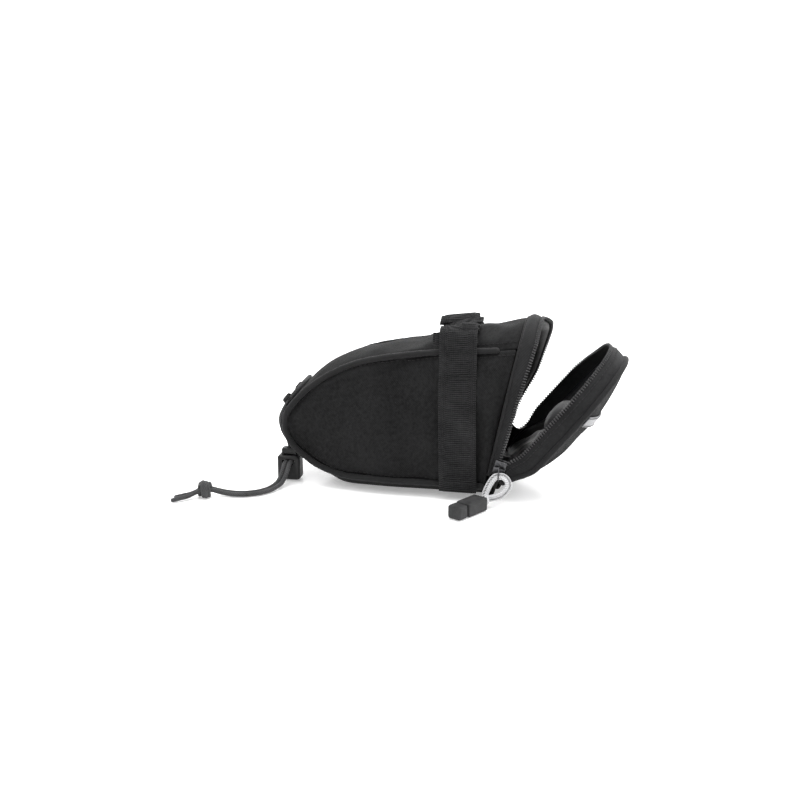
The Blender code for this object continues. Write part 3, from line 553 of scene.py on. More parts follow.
def moulded_material(name, dark, light, rough, grain=0.00003, grain_scale=1800.0, specular=0.4):
    """Moulded plastic or rubber with a fine grain, worn lighter in patches."""
    material, tree, shader = node_tree(name)
    place = coordinates(tree, "Object")
    fine = noise_of(tree, place, grain_scale, 3.0, 0.6)
    wear = noise_of(tree, place, 160.0, 5.0, 0.65)
    colour = ramp(tree, plus(tree, times(tree, fine, 0.3), wear), dark, light, 0.4, 1.0)
    roughness = plus(tree, times(tree, wear, 0.2), rough - 0.1)
    finish_surface(tree, shader, colour, roughness, fine, grain)
    shader.inputs["Specular IOR Level"].default_value = specular
    return material


def steel_material(name, dark, light):
    """Dark plated steel, brushed and lightly scratched."""
    material, tree, shader = node_tree(name)
    place = coordinates(tree, "Object")
    stretch = add(tree, "ShaderNodeMapping", s_Scale=(1.0, 1.0, 0.08))
    tree.links.new(place, stretch.inputs["Vector"])
    brushed = noise_of(tree, stretch.outputs[0], 5000.0, 3.0, 0.6)
    worn = noise_of(tree, place, 400.0, 5.0, 0.7)
    roughness = plus(tree, times(tree, brushed, 0.25), 0.22)
    finish_surface(tree, shader, ramp(tree, worn, dark, light, 0.35, 0.7), roughness, brushed, 0.00001)
    shader.inputs["Metallic"].default_value = 1.0
    return material


def flecked_material(name, dark, light, fleck):
    """Light reflective braid with dark tracer threads in it. Its yarns are painted lighter where they stand
    up and darker in the valleys between them, as painted highlight and painted shade.
    """
    material, tree, shader = node_tree(name)
    u, v = cloth_place(tree)
    height = braid(tree, u, v, 0.0014, 0.85)
    tracer = math_node(tree, "GREATER_THAN", ripple(tree, plus(tree, u, 0.0004), 0.0056), 0.90)
    dash = math_node(tree, "GREATER_THAN", ripple(tree, v, 0.0020), 0.38)
    both = add(tree, "ShaderNodeMix", data_type="RGBA")
    tree.links.new(times(tree, tracer, dash), both.inputs[0])
    # painted highlight and painted shade: the braid's height turns its valleys dark and its crests light
    tree.links.new(ramp(tree, height, dark, light, 0.1, 0.9), both.inputs[6])
    both.inputs[7].default_value = (*fleck, 1.0)
    finish_surface(tree, shader, both.outputs[2], 0.5, height, 0.00012)
    shader.inputs["Sheen Weight"].default_value = 0.2
    return material


CLOTH = weave_material(
    "cloth", (0.0003, 0.0003, 0.0004), (0.0138, 0.0138, 0.0142), 0.0012, 0.00014, sheen=0.02, specular=0.16,
    crumple=0.00025, crumple_scale=130.0, speckle=0.75)
TRIM = weave_material(
    "trim", (0.0025, 0.0025, 0.0027), (0.0115, 0.0115, 0.0120), 0.0005, 0.00005, sheen=0.05, specular=0.32,
    crumple=0.00018, crumple_scale=420.0)
LINING = weave_material(
    "lining", (0.0010, 0.0010, 0.0011), (0.0055, 0.0055, 0.0057), 0.0004, 0.00002, rough=0.45, sheen=0.02,
    specular=0.35, crumple=0.0010, crumple_scale=85.0)
POCKET = weave_material(
    "pocket_cloth", (0.010, 0.010, 0.0105), (0.040, 0.040, 0.041), 0.0005, 0.00004, rough=0.6, sheen=0.1,
    specular=0.3)
WEB = weave_material(
    "webbing", (0.0025, 0.0025, 0.0027), (0.034, 0.034, 0.035), RIB_PITCH, 0.00020, kind="rib", sheen=0.05,
    specular=0.14)
TAPE = weave_material(
    "tape", (0.003, 0.003, 0.0032), (0.025, 0.025, 0.026), 0.0009, 0.00008, kind="twill", sheen=0.08,
    specular=0.14)
ELASTIC = weave_material(
    "elastic", (0.004, 0.004, 0.0042), (0.075, 0.075, 0.077), 0.0016, 0.00022, kind="braid", sheen=0.08,
    specular=0.16)
THREAD = weave_material(
    "thread", (0.006, 0.006, 0.0062), (0.030, 0.030, 0.031), 0.0004, 0.00003, kind="twill", sheen=0.06,
    specular=0.2)
FRAY = weave_material(
    "fray", (0.05, 0.05, 0.051), (0.30, 0.30, 0.31), 0.0004, 0.00003, kind="twill", sheen=0.2)
STRIP = weave_material(
    "reflective_strip", (0.10, 0.10, 0.105), (0.26, 0.26, 0.27), 0.0007, 0.00004, rough=0.45, sheen=0.05,
    specular=0.4)
TEETH = moulded_material(
    "coil_plastic", (0.013, 0.013, 0.0135), (0.055, 0.055, 0.057), 0.35, specular=0.5)
PLASTIC = moulded_material(
    "moulded_plastic", (0.003, 0.003, 0.0032), (0.012, 0.012, 0.0125), 0.45, specular=0.30)
GRIP = moulded_material(
    "grip_rubber", (0.014, 0.014, 0.0145), (0.045, 0.045, 0.046), 0.62, 0.00005, 1300.0, 0.25)
STEEL = steel_material("plated_steel", (0.035, 0.035, 0.037), (0.13, 0.13, 0.135))
REFLECTIVE = flecked_material(
    "reflective_braid", (0.30, 0.30, 0.31), (0.62, 0.62, 0.63), (0.03, 0.03, 0.03))


# ---------------------------------------------------------------- mesh building blocks

def place_in_scene(name, data):
    item = bpy.data.objects.new(name, data)
    bpy.context.scene.collection.objects.link(item)
    return item


def link(name, mesh, material, body):
    """An object for a mesh, with its material, its colour slot and the body that it rides on."""
    item = place_in_scene(name, mesh)
    mesh.materials.append(material)
    mesh.shade_smooth()
    if body:
        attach(item, body)
    return item


def mesh_with_uv(name, points, faces, uvs):
    """uvs holds one pair for each corner of each face, in order."""
    mesh = bpy.data.meshes.new(name)
    mesh.from_pydata([tuple(p) for p in points], [], faces)
    layer = mesh.uv_layers.new(name="metres")
    layer.data.foreach_set("uv", np.array(uvs, np.float32).ravel())
    mesh.validate()
    return mesh


def faces_out(rows, wrap, outside):
    """Whether the sheet's faces, taken in order, point the way that outside gives at each place."""
    width = len(rows[0])
    total = 0.0
    for r in range(0, len(rows) - 1, 2):
        for c in range(0, width if wrap else width - 1, 2):
            a, b, d = rows[r][c], rows[r][(c + 1) % width], rows[r + 1][c]
            total += (b - a).cross(d - a).dot(outside(a))
    return total > 0


def sheet(name, rows, material, body, thickness=FABRIC, offset=-1.0, wrap=False, levels=1,
          outside=None):
    """A sheet of cloth through rows of points, with UVs in metres and a real thickness. outside gives the
    direction that its face points in."""
    flip = outside is not None and not faces_out(rows, wrap, outside)
    count, width = len(rows), len(rows[0])
    points = [p for row in rows for p in row]
    across = [[0.0] for _ in rows]
    for r, row in enumerate(rows):
        for c in range(1, width + 1):
            across[r].append(across[r][-1] + (row[c % width] - row[c - 1]).length)
        middle = across[r][width if wrap else width - 1] / 2
        across[r] = [value - middle for value in across[r]]
    down = [[0.0] * width]
    for r in range(1, count):
        down.append([down[-1][c] + (rows[r][c] - rows[r - 1][c]).length for c in range(width)])
    faces, uvs = [], []
    for r in range(count - 1):
        for c in range(width if wrap else width - 1):
            nxt = (c + 1) % width
            face = [(r, c, c), (r, nxt, c + 1), (r + 1, nxt, c + 1), (r + 1, c, c)]
            if flip:
                face.reverse()
            faces.append([row * width + column for row, column, _ in face])
            uvs += [(across[row][place], down[row][column]) for row, column, place in face]
    item = link(name, mesh_with_uv(name, points, faces, uvs), material, body)
    if levels:
        smoother = item.modifiers.new("smooth", "SUBSURF")
        smoother.levels = smoother.render_levels = levels
    if thickness:
        wall = item.modifiers.new("wall", "SOLIDIFY")
        wall.thickness = thickness
        wall.offset = offset
    return item


def frames_along(path, closed=False):
    """A point, tangent and two cross directions at each point of a path, with as little twist as possible."""
    count = len(path)
    tangents = []
    for i in range(count):
        if closed:
            tangents.append((path[(i + 1) % count] - path[i - 1]).normalized())
        else:
            tangents.append(ahead_at(path, i).normalized())
    side = tangents[0].orthogonal().normalized()
    result = []
    for point, tangent in zip(path, tangents):
        side = (side - tangent * side.dot(tangent)).normalized()
        result.append((point, tangent, side, tangent.cross(side)))
    return result


def domed(stations):
    """The stations of a cord with a round cap added at each end."""
    turns = (0.5, 0.95, 1.35)

    def cap(station, turn, way):
        point, tangent, side, across, radius = station
        beyond = point + tangent * (way * radius * math.sin(turn))
        return beyond, tangent, side, across, radius * math.cos(turn)

    head = [cap(stations[0], turn, -1) for turn in reversed(turns)]
    return head + stations + [cap(stations[-1], turn, 1) for turn in turns]


def tube(name, path, radius, material, body, sides=14, closed=False, wobble=0.0):
    """A cord or piping with UVs in metres. radius is a number, or a function of the share along."""
    size = radius if callable(radius) else lambda t: radius
    total = len(path) - 1
    stations = [(*frame_here, size(i / total)) for i, frame_here in enumerate(frames_along(path, closed))]
    if not closed:
        stations = domed(stations)
    rings, places = [], []
    place = 0.0
    for i, (point, _, side, across, round_by) in enumerate(stations):
        if i:
            place += (point - stations[i - 1][0]).length
        places.append(place)
        ring = []
        for s in range(sides):
            turn = 2 * math.pi * s / sides
            swell = 1.0 + (wobble * noise.noise(Vector((place * 700, turn * 1.3, 3.1))) if wobble else 0.0)
            ring.append(point + (side * math.cos(turn) + across * math.sin(turn)) * round_by * swell)
        rings.append(ring)
    if closed:
        places.append(place + (stations[0][0] - stations[-1][0]).length)
    points = [p for ring in rings for p in ring]
    faces, uvs = [], []
    step = 2 * math.pi * size(0.5) / sides
    for r in range(len(rings) if closed else len(rings) - 1):
        next_r = (r + 1) % len(rings)
        for s in range(sides):
            nxt = (s + 1) % sides
            faces.append([r * sides + s, r * sides + nxt, next_r * sides + nxt, next_r * sides + s])
            uvs += [(s * step, places[r]), ((s + 1) * step, places[r]), ((s + 1) * step, places[r + 1]),
                    (s * step, places[r + 1])]
    if not closed:
        faces.append(list(range(sides))[::-1])
        faces.append([len(points) - sides + s for s in range(sides)])
        uvs += [(0.0, 0.0)] * sides + [(0.0, place)] * sides
    return link(name, mesh_with_uv(name, points, faces, uvs), material, body)


def many(name, template, places, material, body):
    """One mesh of copies of a template (points, faces) at each of the given matrices."""
    points, faces, uvs = [], [], []
    for matrix in places:
        start = len(points)
        points += [matrix @ p for p in template[0]]
        for face in template[1]:
            faces.append([start + i for i in face])
            uvs += [(template[0][i].x, template[0][i].z) for i in face]
    return link(name, mesh_with_uv(name, points, faces, uvs), material, body)


def rounded_block(size, bevel):
    shape = bmesh.new()
    bmesh.ops.create_cube(shape, size=1.0)
    bmesh.ops.scale(shape, vec=size, verts=shape.verts)
    bmesh.ops.bevel(shape, geom=shape.edges[:], offset=bevel, segments=2, profile=0.5, affect="EDGES")
    shape.verts.ensure_lookup_table()
    found = ([v.co.copy() for v in shape.verts], [[v.index for v in f.verts] for f in shape.faces])
    shape.free()
    return found


def capsule(length, radius, sides=6):
    """A thread stitch along X, arched a little."""
    points, faces = [], []
    profile = [(-0.5, 0.35, -0.6), (-0.38, 0.9, 0.0), (0.0, 1.0, 0.35), (0.38, 0.9, 0.0), (0.5, 0.35, -0.6)]
    for x, r, rise in profile:
        for s in range(sides):
            turn = 2 * math.pi * s / sides
            points.append(Vector((
                x * length, radius * r * math.cos(turn), radius * (r * math.sin(turn) + rise),
            )))
    for k in range(len(profile) - 1):
        for s in range(sides):
            nxt = (s + 1) % sides
            faces.append([k * sides + s, (k + 1) * sides + s, (k + 1) * sides + nxt, k * sides + nxt])
    faces.append(list(range(sides)))
    last = (len(profile) - 1) * sides
    faces.append([last + s for s in range(sides)][::-1])
    return points, faces


STITCH = capsule(0.0021, 0.00024)
STITCH_LIFT = 0.00012
STITCH_PITCH = 0.0030


def stitch_row(path, normal_of, pitch):
    """Matrices for stitches at even steps along a path. normal_of(point, share) points out of the cloth."""
    count = max(2, int(length_of(path) / pitch) + 1)
    spots = evenly(path, count)
    result = []
    for i, spot in enumerate(spots):
        ahead = ahead_at(spots, i).normalized()
        up = normal_of(spot, i / (count - 1))
        up = (up - ahead * up.dot(ahead)).normalized()
        result.append(placed(ahead, up.cross(ahead), up, spot + up * STITCH_LIFT))
    return result


CLOTH_FRAMES = 20
CLOTH_QUALITY = 8
CLOTH_MASS = 0.15
CLOTH_SHEAR = 5.0
CLOTH_STIFFNESS = 15.0
CLOTH_BENDING = 0.6
CLOTH_BLUR = 2


def settle(piece, pinned, grow, pressure, cap):
    """Lets a sheet find its own soft shape: its edge stays put, its cloth is cut a little larger than the gap
    that it fills, and a light pressure pushes it out."""
    scene = bpy.context.scene
    mesh = piece.data
    group = piece.vertex_groups.new(name="pin")
    group.add(pinned, 1.0, "REPLACE")
    shown = [(m, m.show_viewport) for m in piece.modifiers]
    for modifier, _ in shown:
        modifier.show_viewport = False
    cloth = piece.modifiers.new("cloth", "CLOTH")
    settings = cloth.settings
    settings.quality = CLOTH_QUALITY
    settings.mass = CLOTH_MASS
    settings.tension_stiffness = CLOTH_STIFFNESS
    settings.compression_stiffness = CLOTH_STIFFNESS
    settings.shear_stiffness = CLOTH_SHEAR
    settings.bending_stiffness = CLOTH_BENDING
    settings.vertex_group_mass = "pin"
    settings.shrink_min = -grow
    settings.use_pressure = True
    settings.uniform_pressure_force = pressure
    settings.effector_weights.gravity = 0.0
    cloth.point_cache.frame_start = 1
    cloth.point_cache.frame_end = CLOTH_FRAMES
    before = np.empty(len(mesh.vertices) * 3, np.float32)
    mesh.vertices.foreach_get("co", before)
    for number in range(1, CLOTH_FRAMES + 1):
        scene.frame_set(number)
    graph = bpy.context.evaluated_depsgraph_get()
    result = piece.evaluated_get(graph)
    after = np.empty(len(mesh.vertices) * 3, np.float32)
    result.data.vertices.foreach_get("co", after)
    piece.modifiers.remove(cloth)
    scene.frame_set(1)
    moved = (after - before).reshape(-1, 3)
    if not np.isfinite(moved).all():
        moved = np.zeros_like(moved)
    far = np.linalg.norm(moved, axis=1)
    moved *= np.minimum(1.0, cap / np.maximum(far, 1e-9))[:, None]
    edges = np.array([e.vertices[:] for e in mesh.edges])
    fixed = np.zeros(len(mesh.vertices), bool)
    fixed[pinned] = True
    for _ in range(CLOTH_BLUR):
        total = np.zeros_like(moved)
        count = np.zeros(len(moved))
        for a, b in ((0, 1), (1, 0)):
            np.add.at(total, edges[:, a], moved[edges[:, b]])
            np.add.at(count, edges[:, a], 1)
        smooth = total / np.maximum(count, 1)[:, None]
        moved = np.where(fixed[:, None], 0.0, 0.5 * moved + 0.5 * smooth)
    mesh.vertices.foreach_set("co", (before.reshape(-1, 3) + moved).astype(np.float32).ravel())
    mesh.update()
    piece.vertex_groups.remove(group)
    for modifier, state in shown:
        modifier.show_viewport = state


def border(rows, columns):
    """Indices of the points along the edges of a grid."""
    return [r * columns + c for r in range(rows) for c in range(columns)
            if r in (0, rows - 1) or c in (0, columns - 1)]


def surface_of(piece):
    """A piece's own mesh, ready to find the nearest place on it."""
    mesh = piece.data
    return BVHTree.FromPolygons([v.co for v in mesh.vertices], [p.vertices[:] for p in mesh.polygons])


def cloth_stitches(tree, path, outside, pitch=STITCH_PITCH):
    """Stitches along a path that lies on a piece of cloth. outside is a point's outward direction."""
    count = max(3, int(length_of(path) / 0.002))
    found = [tree.find_nearest(point)[:2] for point in evenly(path, count)]
    spots, normals = zip(*found)

    def normal_of(point, share):
        normal = normals[min(count - 1, int(share * (count - 1) + 0.5))]
        return normal if normal.dot(outside(point)) > 0 else -normal

    return stitch_row(spots, normal_of, pitch)


# ---------------------------------------------------------------- bag body

PANEL_ROWS = 64
PANEL_STEPS = 36
TOP_ROWS = 56
TOP_STEPS = 24
SEAM_INSET = 0.0031


def side_fold(side, point, w):
    """How far the cloth of a side stands out or in, over its plain surface."""
    height, x = point.z, point.x
    soft = math.sin(math.pi * min(1.0, max(0.0, w)))
    ridge = 0.0027 * hump(x, 0.0505 + 0.10 * (height - 0.05), 0.0060) * soft
    hollow = -0.0026 * hump(x, 0.0575 + 0.12 * (height - 0.05), 0.0070) * soft
    second = 0.0010 * hump(x, 0.0100 - 0.05 * (height - 0.05), 0.0100) * soft
    crease_height = 0.0700 + 0.42 * (x + 0.048)
    reach = ease((x + 0.075) / 0.02) * ease((0.012 - x) / 0.02)
    crease = -0.0016 * hump(height, crease_height, 0.0060) * reach
    crown = 0.0010 * hump(height, crease_height + 0.0055, 0.0060) * reach
    sag = 0.0012 * noise.noise(Vector((x * 38, side * 4.0, height * 30))) * soft
    gather = 0.0006 * math.sin(x * 420 + 3 * noise.noise(Vector((x * 40, 1.7, side))))
    return ridge + hollow + second + crease + crown + sag + gather * ease((0.25 - w) / 0.25) * soft


def point_has_piping(v):
    """Whether the top edge has piping at a share along the bag, which ends short of the mouth."""
    return along(TOP_POINTS, v).x < PIPING_END_X + 0.0015


def side_cloth(side, name, node):
    def spot(down, w):
        v = mix(0.035, 0.992, down)
        span = (along(TOP_POINTS, v) - along(BASE_POINTS, v)).length
        edge = min(w, 1 - w if point_has_piping(v) else 1.0) * span
        groove = 0.0020 * math.exp(-(edge / 0.0034) ** 2)
        point = side_point(side, v, w, 0.0002 - groove)
        point.y += side * side_fold(side, point, w)
        return point

    rows = grid(PANEL_ROWS, PANEL_STEPS, spot)
    panel = sheet(name, rows, CLOTH, "bag", thickness=PANEL_WALL,
                  outside=lambda p: Vector((0.0, side, 0.0)))
    settle(panel, border(PANEL_ROWS + 1, PANEL_STEPS + 1), grow=0.018, pressure=1.2, cap=0.0032)
    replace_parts(panel, node, node.replace("panel", "foam"))
    return panel


def top_cloth():
    def spot(down, share):
        v, q = mix(0.0, 0.995, down), 2 * share - 1
        edge = (1 - abs(q)) * top_half(v)
        groove = 0.0016 * math.exp(-(edge / 0.0030) ** 2) if point_has_piping(v) else 0.0
        point = top_point(v, q, 0.0003 - groove)
        point.z += 0.0009 * noise.noise(Vector((point.x * 42, point.y * 60, 5.0))) * (1 - q ** 4)
        return point

    rows = grid(TOP_ROWS, TOP_STEPS, spot)
    panel = sheet("gusset_top", rows, CLOTH, "bag", thickness=PANEL_WALL,
                  outside=lambda p: Vector((0.0, 0.0, 1.0)))
    settle(panel, border(TOP_ROWS + 1, TOP_STEPS + 1), grow=0.010, pressure=0.8, cap=0.0020)
    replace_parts(panel, "top_panel")
    return panel


def base_cloth():
    """The cloth under the bag, which starts with the flat of the nose."""
    places = [2 * c / TOP_STEPS - 1 for c in range(TOP_STEPS + 1)]
    rows = []
    for z in (NOSE_TOP_Z, mix(NOSE_LOW_Z, NOSE_TOP_Z, 0.5), NOSE_LOW_Z):
        rows.append([Vector((p.x, p.y, z)) for p in (base_point(0.0, q, 0.0002) for q in places)])
    for r in range(1, 49):
        v = mix(0.0, 0.992, r / 48)
        rows.append([base_point(v, q, 0.0) for q in places])
    panel = sheet("gusset_base", rows, CLOTH, "bag", thickness=BASE_WALL,
                  outside=lambda p: Vector((-0.3, 0.0, -1.0)))
    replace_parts(panel, "base_panel")


def piping_route(side):
    """The piping runs forward along the foot of a side, up round the nose and back along its top."""
    route = []
    for step in range(96, -1, -1):
        v = step / 96
        point = along(BASE_POINTS, v).copy()
        point.y = side * (base_half(v) + 0.0004)
        if point.x < 0.0485:
            route.append(point)
    for step in range(1, 121):
        v = step / 121
        point = along(TOP_POINTS, v).copy()
        point.y = side * (top_half(v) + 0.0007)
        point.z += 0.0003
        if point.x < PIPING_END_X + 0.0010:
            route.append(point)
    return route


def seam_rows(side, top):
    """Where the stitches beside the piping run: under it at the top of a side, or over it at the foot."""
    rows = []
    for r in range(110):
        v = mix(0.06, 0.985 if top else 0.97, r / 109)
        gap = SEAM_INSET / (along(TOP_POINTS, v) - along(BASE_POINTS, v)).length
        rows.append(side_point(side, v, 1 - gap if top else gap))
    return rows


def piping_and_stitches(side, name, panel, roof):
    route = evenly(piping_route(side), 260)
    piece = tube("welt_" + name, route, lambda t: PIPING_R * (1.06 + 0.04 * math.sin(t * 190)), TRIM,
                 "bag", wobble=0.10)
    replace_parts(piece, "edge_piping_" + name)
    surface = surface_of(panel)
    places = []
    for top in (True, False):
        places += cloth_stitches(surface, seam_rows(side, top), lambda p: Vector((0.0, side, 0.0)))
    many("seam_stitches_" + name, STITCH, places, THREAD, "bag")
    run = [top_point(mix(0.03, 0.98, r / 90), side * (1 - 0.0033 / TOP_HALF)) for r in range(91)]
    places = cloth_stitches(surface_of(roof), run, lambda p: Vector((0.0, 0.0, 1.0)))
    many("roof_stitches_" + name, STITCH, places, THREAD, "bag")


def build_body():
    left = side_cloth(-1, "side_left", "side_panel_left")
    right = side_cloth(1, "side_right", "side_panel_right")
    roof = top_cloth()
    base_cloth()
    piping_and_stitches(-1, "left", left, roof)
    piping_and_stitches(1, "right", right, roof)


# ---------------------------------------------------------------- mouth, zip and lining

def ring_rows(line, profile):
    """Rows along a line round the mouth. profile(y, height, ny, nh) gives the points across at one place."""
    return [profile(y, height, ny, nh) for (y, height), (ny, nh) in zip(line, line_normals(line))]


def coil(name, line, plane, turn, body, node):
    """The moulded teeth of one side of the zip, one after another along a line."""
    tooth = rounded_block(TOOTH_SIZE, TOOTH_BEVEL)
    places = []
    for (y, height), (ny, nh) in zip(line, line_normals(line)):
        spot = plane(y, height, turn * (TOOTH_DEPTH / 2 + GAP))
        back = (plane(y, height, 0.001) - plane(y, height, 0.0)).normalized()
        outside = (plane(y + ny * 0.001, height + nh * 0.001, 0.0) - plane(y, height, 0.0)).normalized()
        places.append(placed(back, outside, back.cross(outside), spot))
    piece = many(name, tooth, places, TEETH, body)
    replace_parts(piece, node)
    return piece


BAND_STITCH = 0.0028
MOUTH_MIDDLE = 0.045


def from_middle(point):
    """The way out of the bag from the middle of its mouth."""
    return Vector((0.0, point.y, point.z - MOUTH_MIDDLE))


def band_stitches(name, band, line, place, shares, outside, body):
    """Rows of stitches along a zip band. place(y, height, share) is a point across it."""
    tree = surface_of(band)
    places = []
    for share in shares:
        path = [place(y, height, share) for y, height in line]
        places += cloth_stitches(tree, path, outside, BAND_STITCH)
    return many(name, STITCH, places, THREAD, body)


def body_zip_band():
    line = even_mouth_line(ZIP_LOW, 170)

    def across(y, height, ny, nh):
        seam, rim = on_seam(y, height), on_rim(y, height, -TOOTH_DEPTH * 0.6)
        row = []
        for t in (c / 8 for c in range(9)):
            bow = 0.0011 * math.sin(math.pi * t) + 0.0004 * noise.noise(Vector((y * 60, height * 60, t * 2)))
            bow += 0.0020 * ease((height - 0.080) / 0.025) * math.sin(math.pi * min(1.0, 0.25 + t))
            row.append(seam.lerp(rim, t) + Vector((0.0, ny * bow, nh * bow)))
        return row

    def place(y, height, share):
        return on_seam(y, height).lerp(on_rim(y, height), share)

    tape = sheet("zip_band_body", ring_rows(line, across), TAPE, "bag",
                 thickness=BODY_BAND_WALL, outside=from_middle)
    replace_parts(tape, "body_zip_tape")
    binding = tube("mouth_welt", [on_seam(y, h) for y, h in line], BINDING_R, TRIM, "bag",
                   sides=10, wobble=0.12)
    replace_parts(binding, "mouth_binding")
    band_stitches("band_stitches_body", tape, line, place, (0.10, 0.80), from_middle, "bag")
    coil("coil_body", even_mouth_line(ZIP_LOW, int(0.186 / TOOTH_PITCH)), on_rim, -1, "bag",
         "body_zip_teeth")


def inner_ring(v):
    """A ring of points inside the bag's walls, crumpled a little."""
    deep = -0.0040
    row = [base_point(v, 0.86 * (1 - c / 6), deep) for c in range(13)]
    row += [side_point(-1, v, 0.08 + 0.84 * c / 12, deep) for c in range(13)]
    row += [top_point(v, 0.80 * (c / 6 - 1), deep) for c in range(13)]
    row += [side_point(1, v, 0.92 - 0.84 * c / 12, deep) for c in range(13)]
    centre = sum(row, Vector()) / len(row)
    crumpled = []
    for point in row:
        crease = noise.noise(point * 55) + 0.6 * noise.noise(point * 120)
        crumpled.append(point + (centre - point).normalized() * (0.0012 * (1 + crease)))
    return crumpled


def body_lining():
    rows = [inner_ring(mix(0.06, 0.985, r / 39)) for r in range(40)]
    ring = even_mouth_line(0.004, 160)
    ring += [(mix(MOUTH_HALF, -MOUTH_HALF, k / 40), 0.004) for k in range(1, 40)]
    turns = [math.atan2(y, height - MOUTH_MIDDLE) for y, height in ring]
    up = Vector((math.sin(RIM_LEAN), 0.0, math.cos(RIM_LEAN)))
    mouth = []
    for point in rows[-1]:
        turn = math.atan2(point.y, (point - HINGE).dot(up) - MOUTH_MIDDLE)
        y, height = ring[min(range(len(ring)), key=lambda k: abs(turns[k] - turn))]
        mouth.append(on_rim(y * 0.965, MOUTH_MIDDLE + (height - MOUTH_MIDDLE) * 0.965, -0.0026))
    rows.append([a.lerp(b, 0.5) for a, b in zip(rows[-1], mouth)])
    rows.append(mouth)
    lining = sheet("pouch_lining", rows, LINING, "bag", thickness=LINING_WALL, wrap=True,
                   offset=0.0)
    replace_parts(lining, "bag_lining")


# ---------------------------------------------------------------- lid

LID_GROW = 1.032
LID_WIDEN = 1.012
SHELL_DOME = LID_DOME * 1.15


def lid_place(y, height, out=0.0):
    """A point on the lid, whose cloth stands a little fuller than its zip line."""
    return on_lid(y * LID_WIDEN, height * mix(1.0, LID_GROW, ease(height / 0.06)), out)


def lid_rim(y, height, out=0.0):
    """A point on the lid's zip line, which leans in to meet the body's at the slider and at the hinge."""
    lean = mix(RIM_LEAN + math.radians(3), LID_LEAN, ease((height - 0.006) / 0.020))
    grown = height * mix(1.0, LID_GROW, ease(height / 0.06))
    slack = 0.0042 * ease((y + 0.004) / 0.024) * ease((height - 0.014) / 0.024)
    slack *= 1 - 0.6 * ease((height - 0.07) / 0.03)
    return on_plane(HINGE, lean, y * LID_WIDEN, grown, out - slack)


LID_ROOT = (on_rim(0.0, 0.008), on_lid(0.0, 0.026))
LID_OUT = Vector((math.cos(LID_LEAN), 0.0, -math.sin(LID_LEAN)))


def lid_out(point):
    return LID_OUT


def from_lid_middle(point):
    return point - lid_place(0.0, LID_CENTRE)


def lid_band():
    line = even_mouth_line(0.0022, 160)

    def across(y, height, ny, nh):
        near = lid_rim(y, height, TOOTH_DEPTH * 0.6)
        far = lid_place(y, height, lid_depth(height) - 0.0004)
        row = []
        for t in (c / 8 for c in range(9)):
            bow = 0.0014 * math.sin(math.pi * t)
            bow += 0.0005 * noise.noise(Vector((y * 70, height * 70, t * 2 + 9)))
            row.append(near.lerp(far, t) + Vector((0.0, ny * bow, nh * bow)))
        return row

    def place(y, height, share):
        return lid_rim(y, height, TOOTH_DEPTH).lerp(lid_place(y, height, lid_depth(height)), share)

    band = sheet("zip_band_lid", ring_rows(line, across), TAPE, None,
                 thickness=LID_BAND_WALL, outside=from_lid_middle)
    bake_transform(band)
    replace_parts(band, "lid_band")
    thread = band_stitches("band_stitches_lid", band, line, place, (0.30, 0.86), from_lid_middle, None)
    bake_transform(thread)
    teeth = coil("coil_lid", even_mouth_line(LID_ZIP_LOW, int(0.184 / TOOTH_PITCH)), lid_rim, 1,
                 None, "lid_zip_teeth")
    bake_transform(teeth)


def shell_ring(outline, share, lift):
    """A ring of points on the lid's domed shell, at a share of the way out from its middle."""
    ring = []
    for y, height in outline:
        depth = mix(LID_DEPTH, lid_depth(height), min(1.0, share))
        out = depth + SHELL_DOME * (1 - share ** 2.4) + lift
        ring.append(lid_place(y * share, mix(LID_CENTRE, height, share), out))
    return ring


def lid_cover(outline):
    """The lid's piping and padded shell. Gives the shell's surface."""
    edge = [lid_place(y, height, lid_depth(height)) for y, height in outline]
    welt = tube("welt_lid", edge, PIPING_R, TRIM, "lid", closed=True, wobble=0.10)
    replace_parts(welt, "lid_piping")
    rows = [shell_ring(outline, 1.0 - 0.96 * (r / 15), 0.0004) for r in range(16)]
    middle = sum(rows[-1], Vector()) / len(rows[-1])
    rows.append([middle + (p - middle) * 0.02 for p in rows[-1]])
    panel = sheet("lid_shell", rows, CLOTH, "lid", thickness=PANEL_WALL, wrap=True,
                  outside=lid_out)
    width = len(outline)
    pinned = list(range(width)) + list(range((len(rows) - 1) * width, len(rows) * width))
    settle(panel, pinned, grow=0.012, pressure=1.0, cap=0.0022)
    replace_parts(panel, "lid_panel", "lid_foam")
    shell = surface_of(panel)
    ring = shell_ring(outline + outline[:1], 0.93, 0.0)
    many("shell_stitches", STITCH, cloth_stitches(shell, ring, lid_out), THREAD, "lid")
    return shell


def safety_strip(shell):
    """The reflective strip across the lid, laid on its shell."""
    def spot(along_strip, share_over):
        y = mix(-REFLECTOR_HALF, REFLECTOR_HALF, along_strip)
        height = REFLECTOR_HEIGHT + REFLECTOR_WIDTH * (share_over - 0.5)
        share = min(1.0, math.hypot(y / mouth_half_width(height), (height - LID_CENTRE) / 0.055))
        guess = lid_place(y, height, LID_DEPTH + LID_DOME * (1 - share * share) + 0.001)
        found = shell.ray_cast(guess + LID_OUT * 0.03, -LID_OUT)[0] or guess
        return found + LID_OUT * 0.0013 + Vector((0.0, 0.0004 * y / 0.036, 0.0))

    rows = grid(40, 4, spot)
    strip = sheet("safety_strip", rows, STRIP, "lid", thickness=STRIP_WALL, outside=lid_out)
    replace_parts(strip, "reflective_strip")
    tree = surface_of(strip)
    places = []
    for outer, inner in ((0, 1), (4, 3)):
        run = [row[outer].lerp(row[inner], 0.5) for row in rows]
        places += cloth_stitches(tree, run, lid_out, 0.0026)
    many("strip_stitches", STITCH, places, THREAD, "lid")


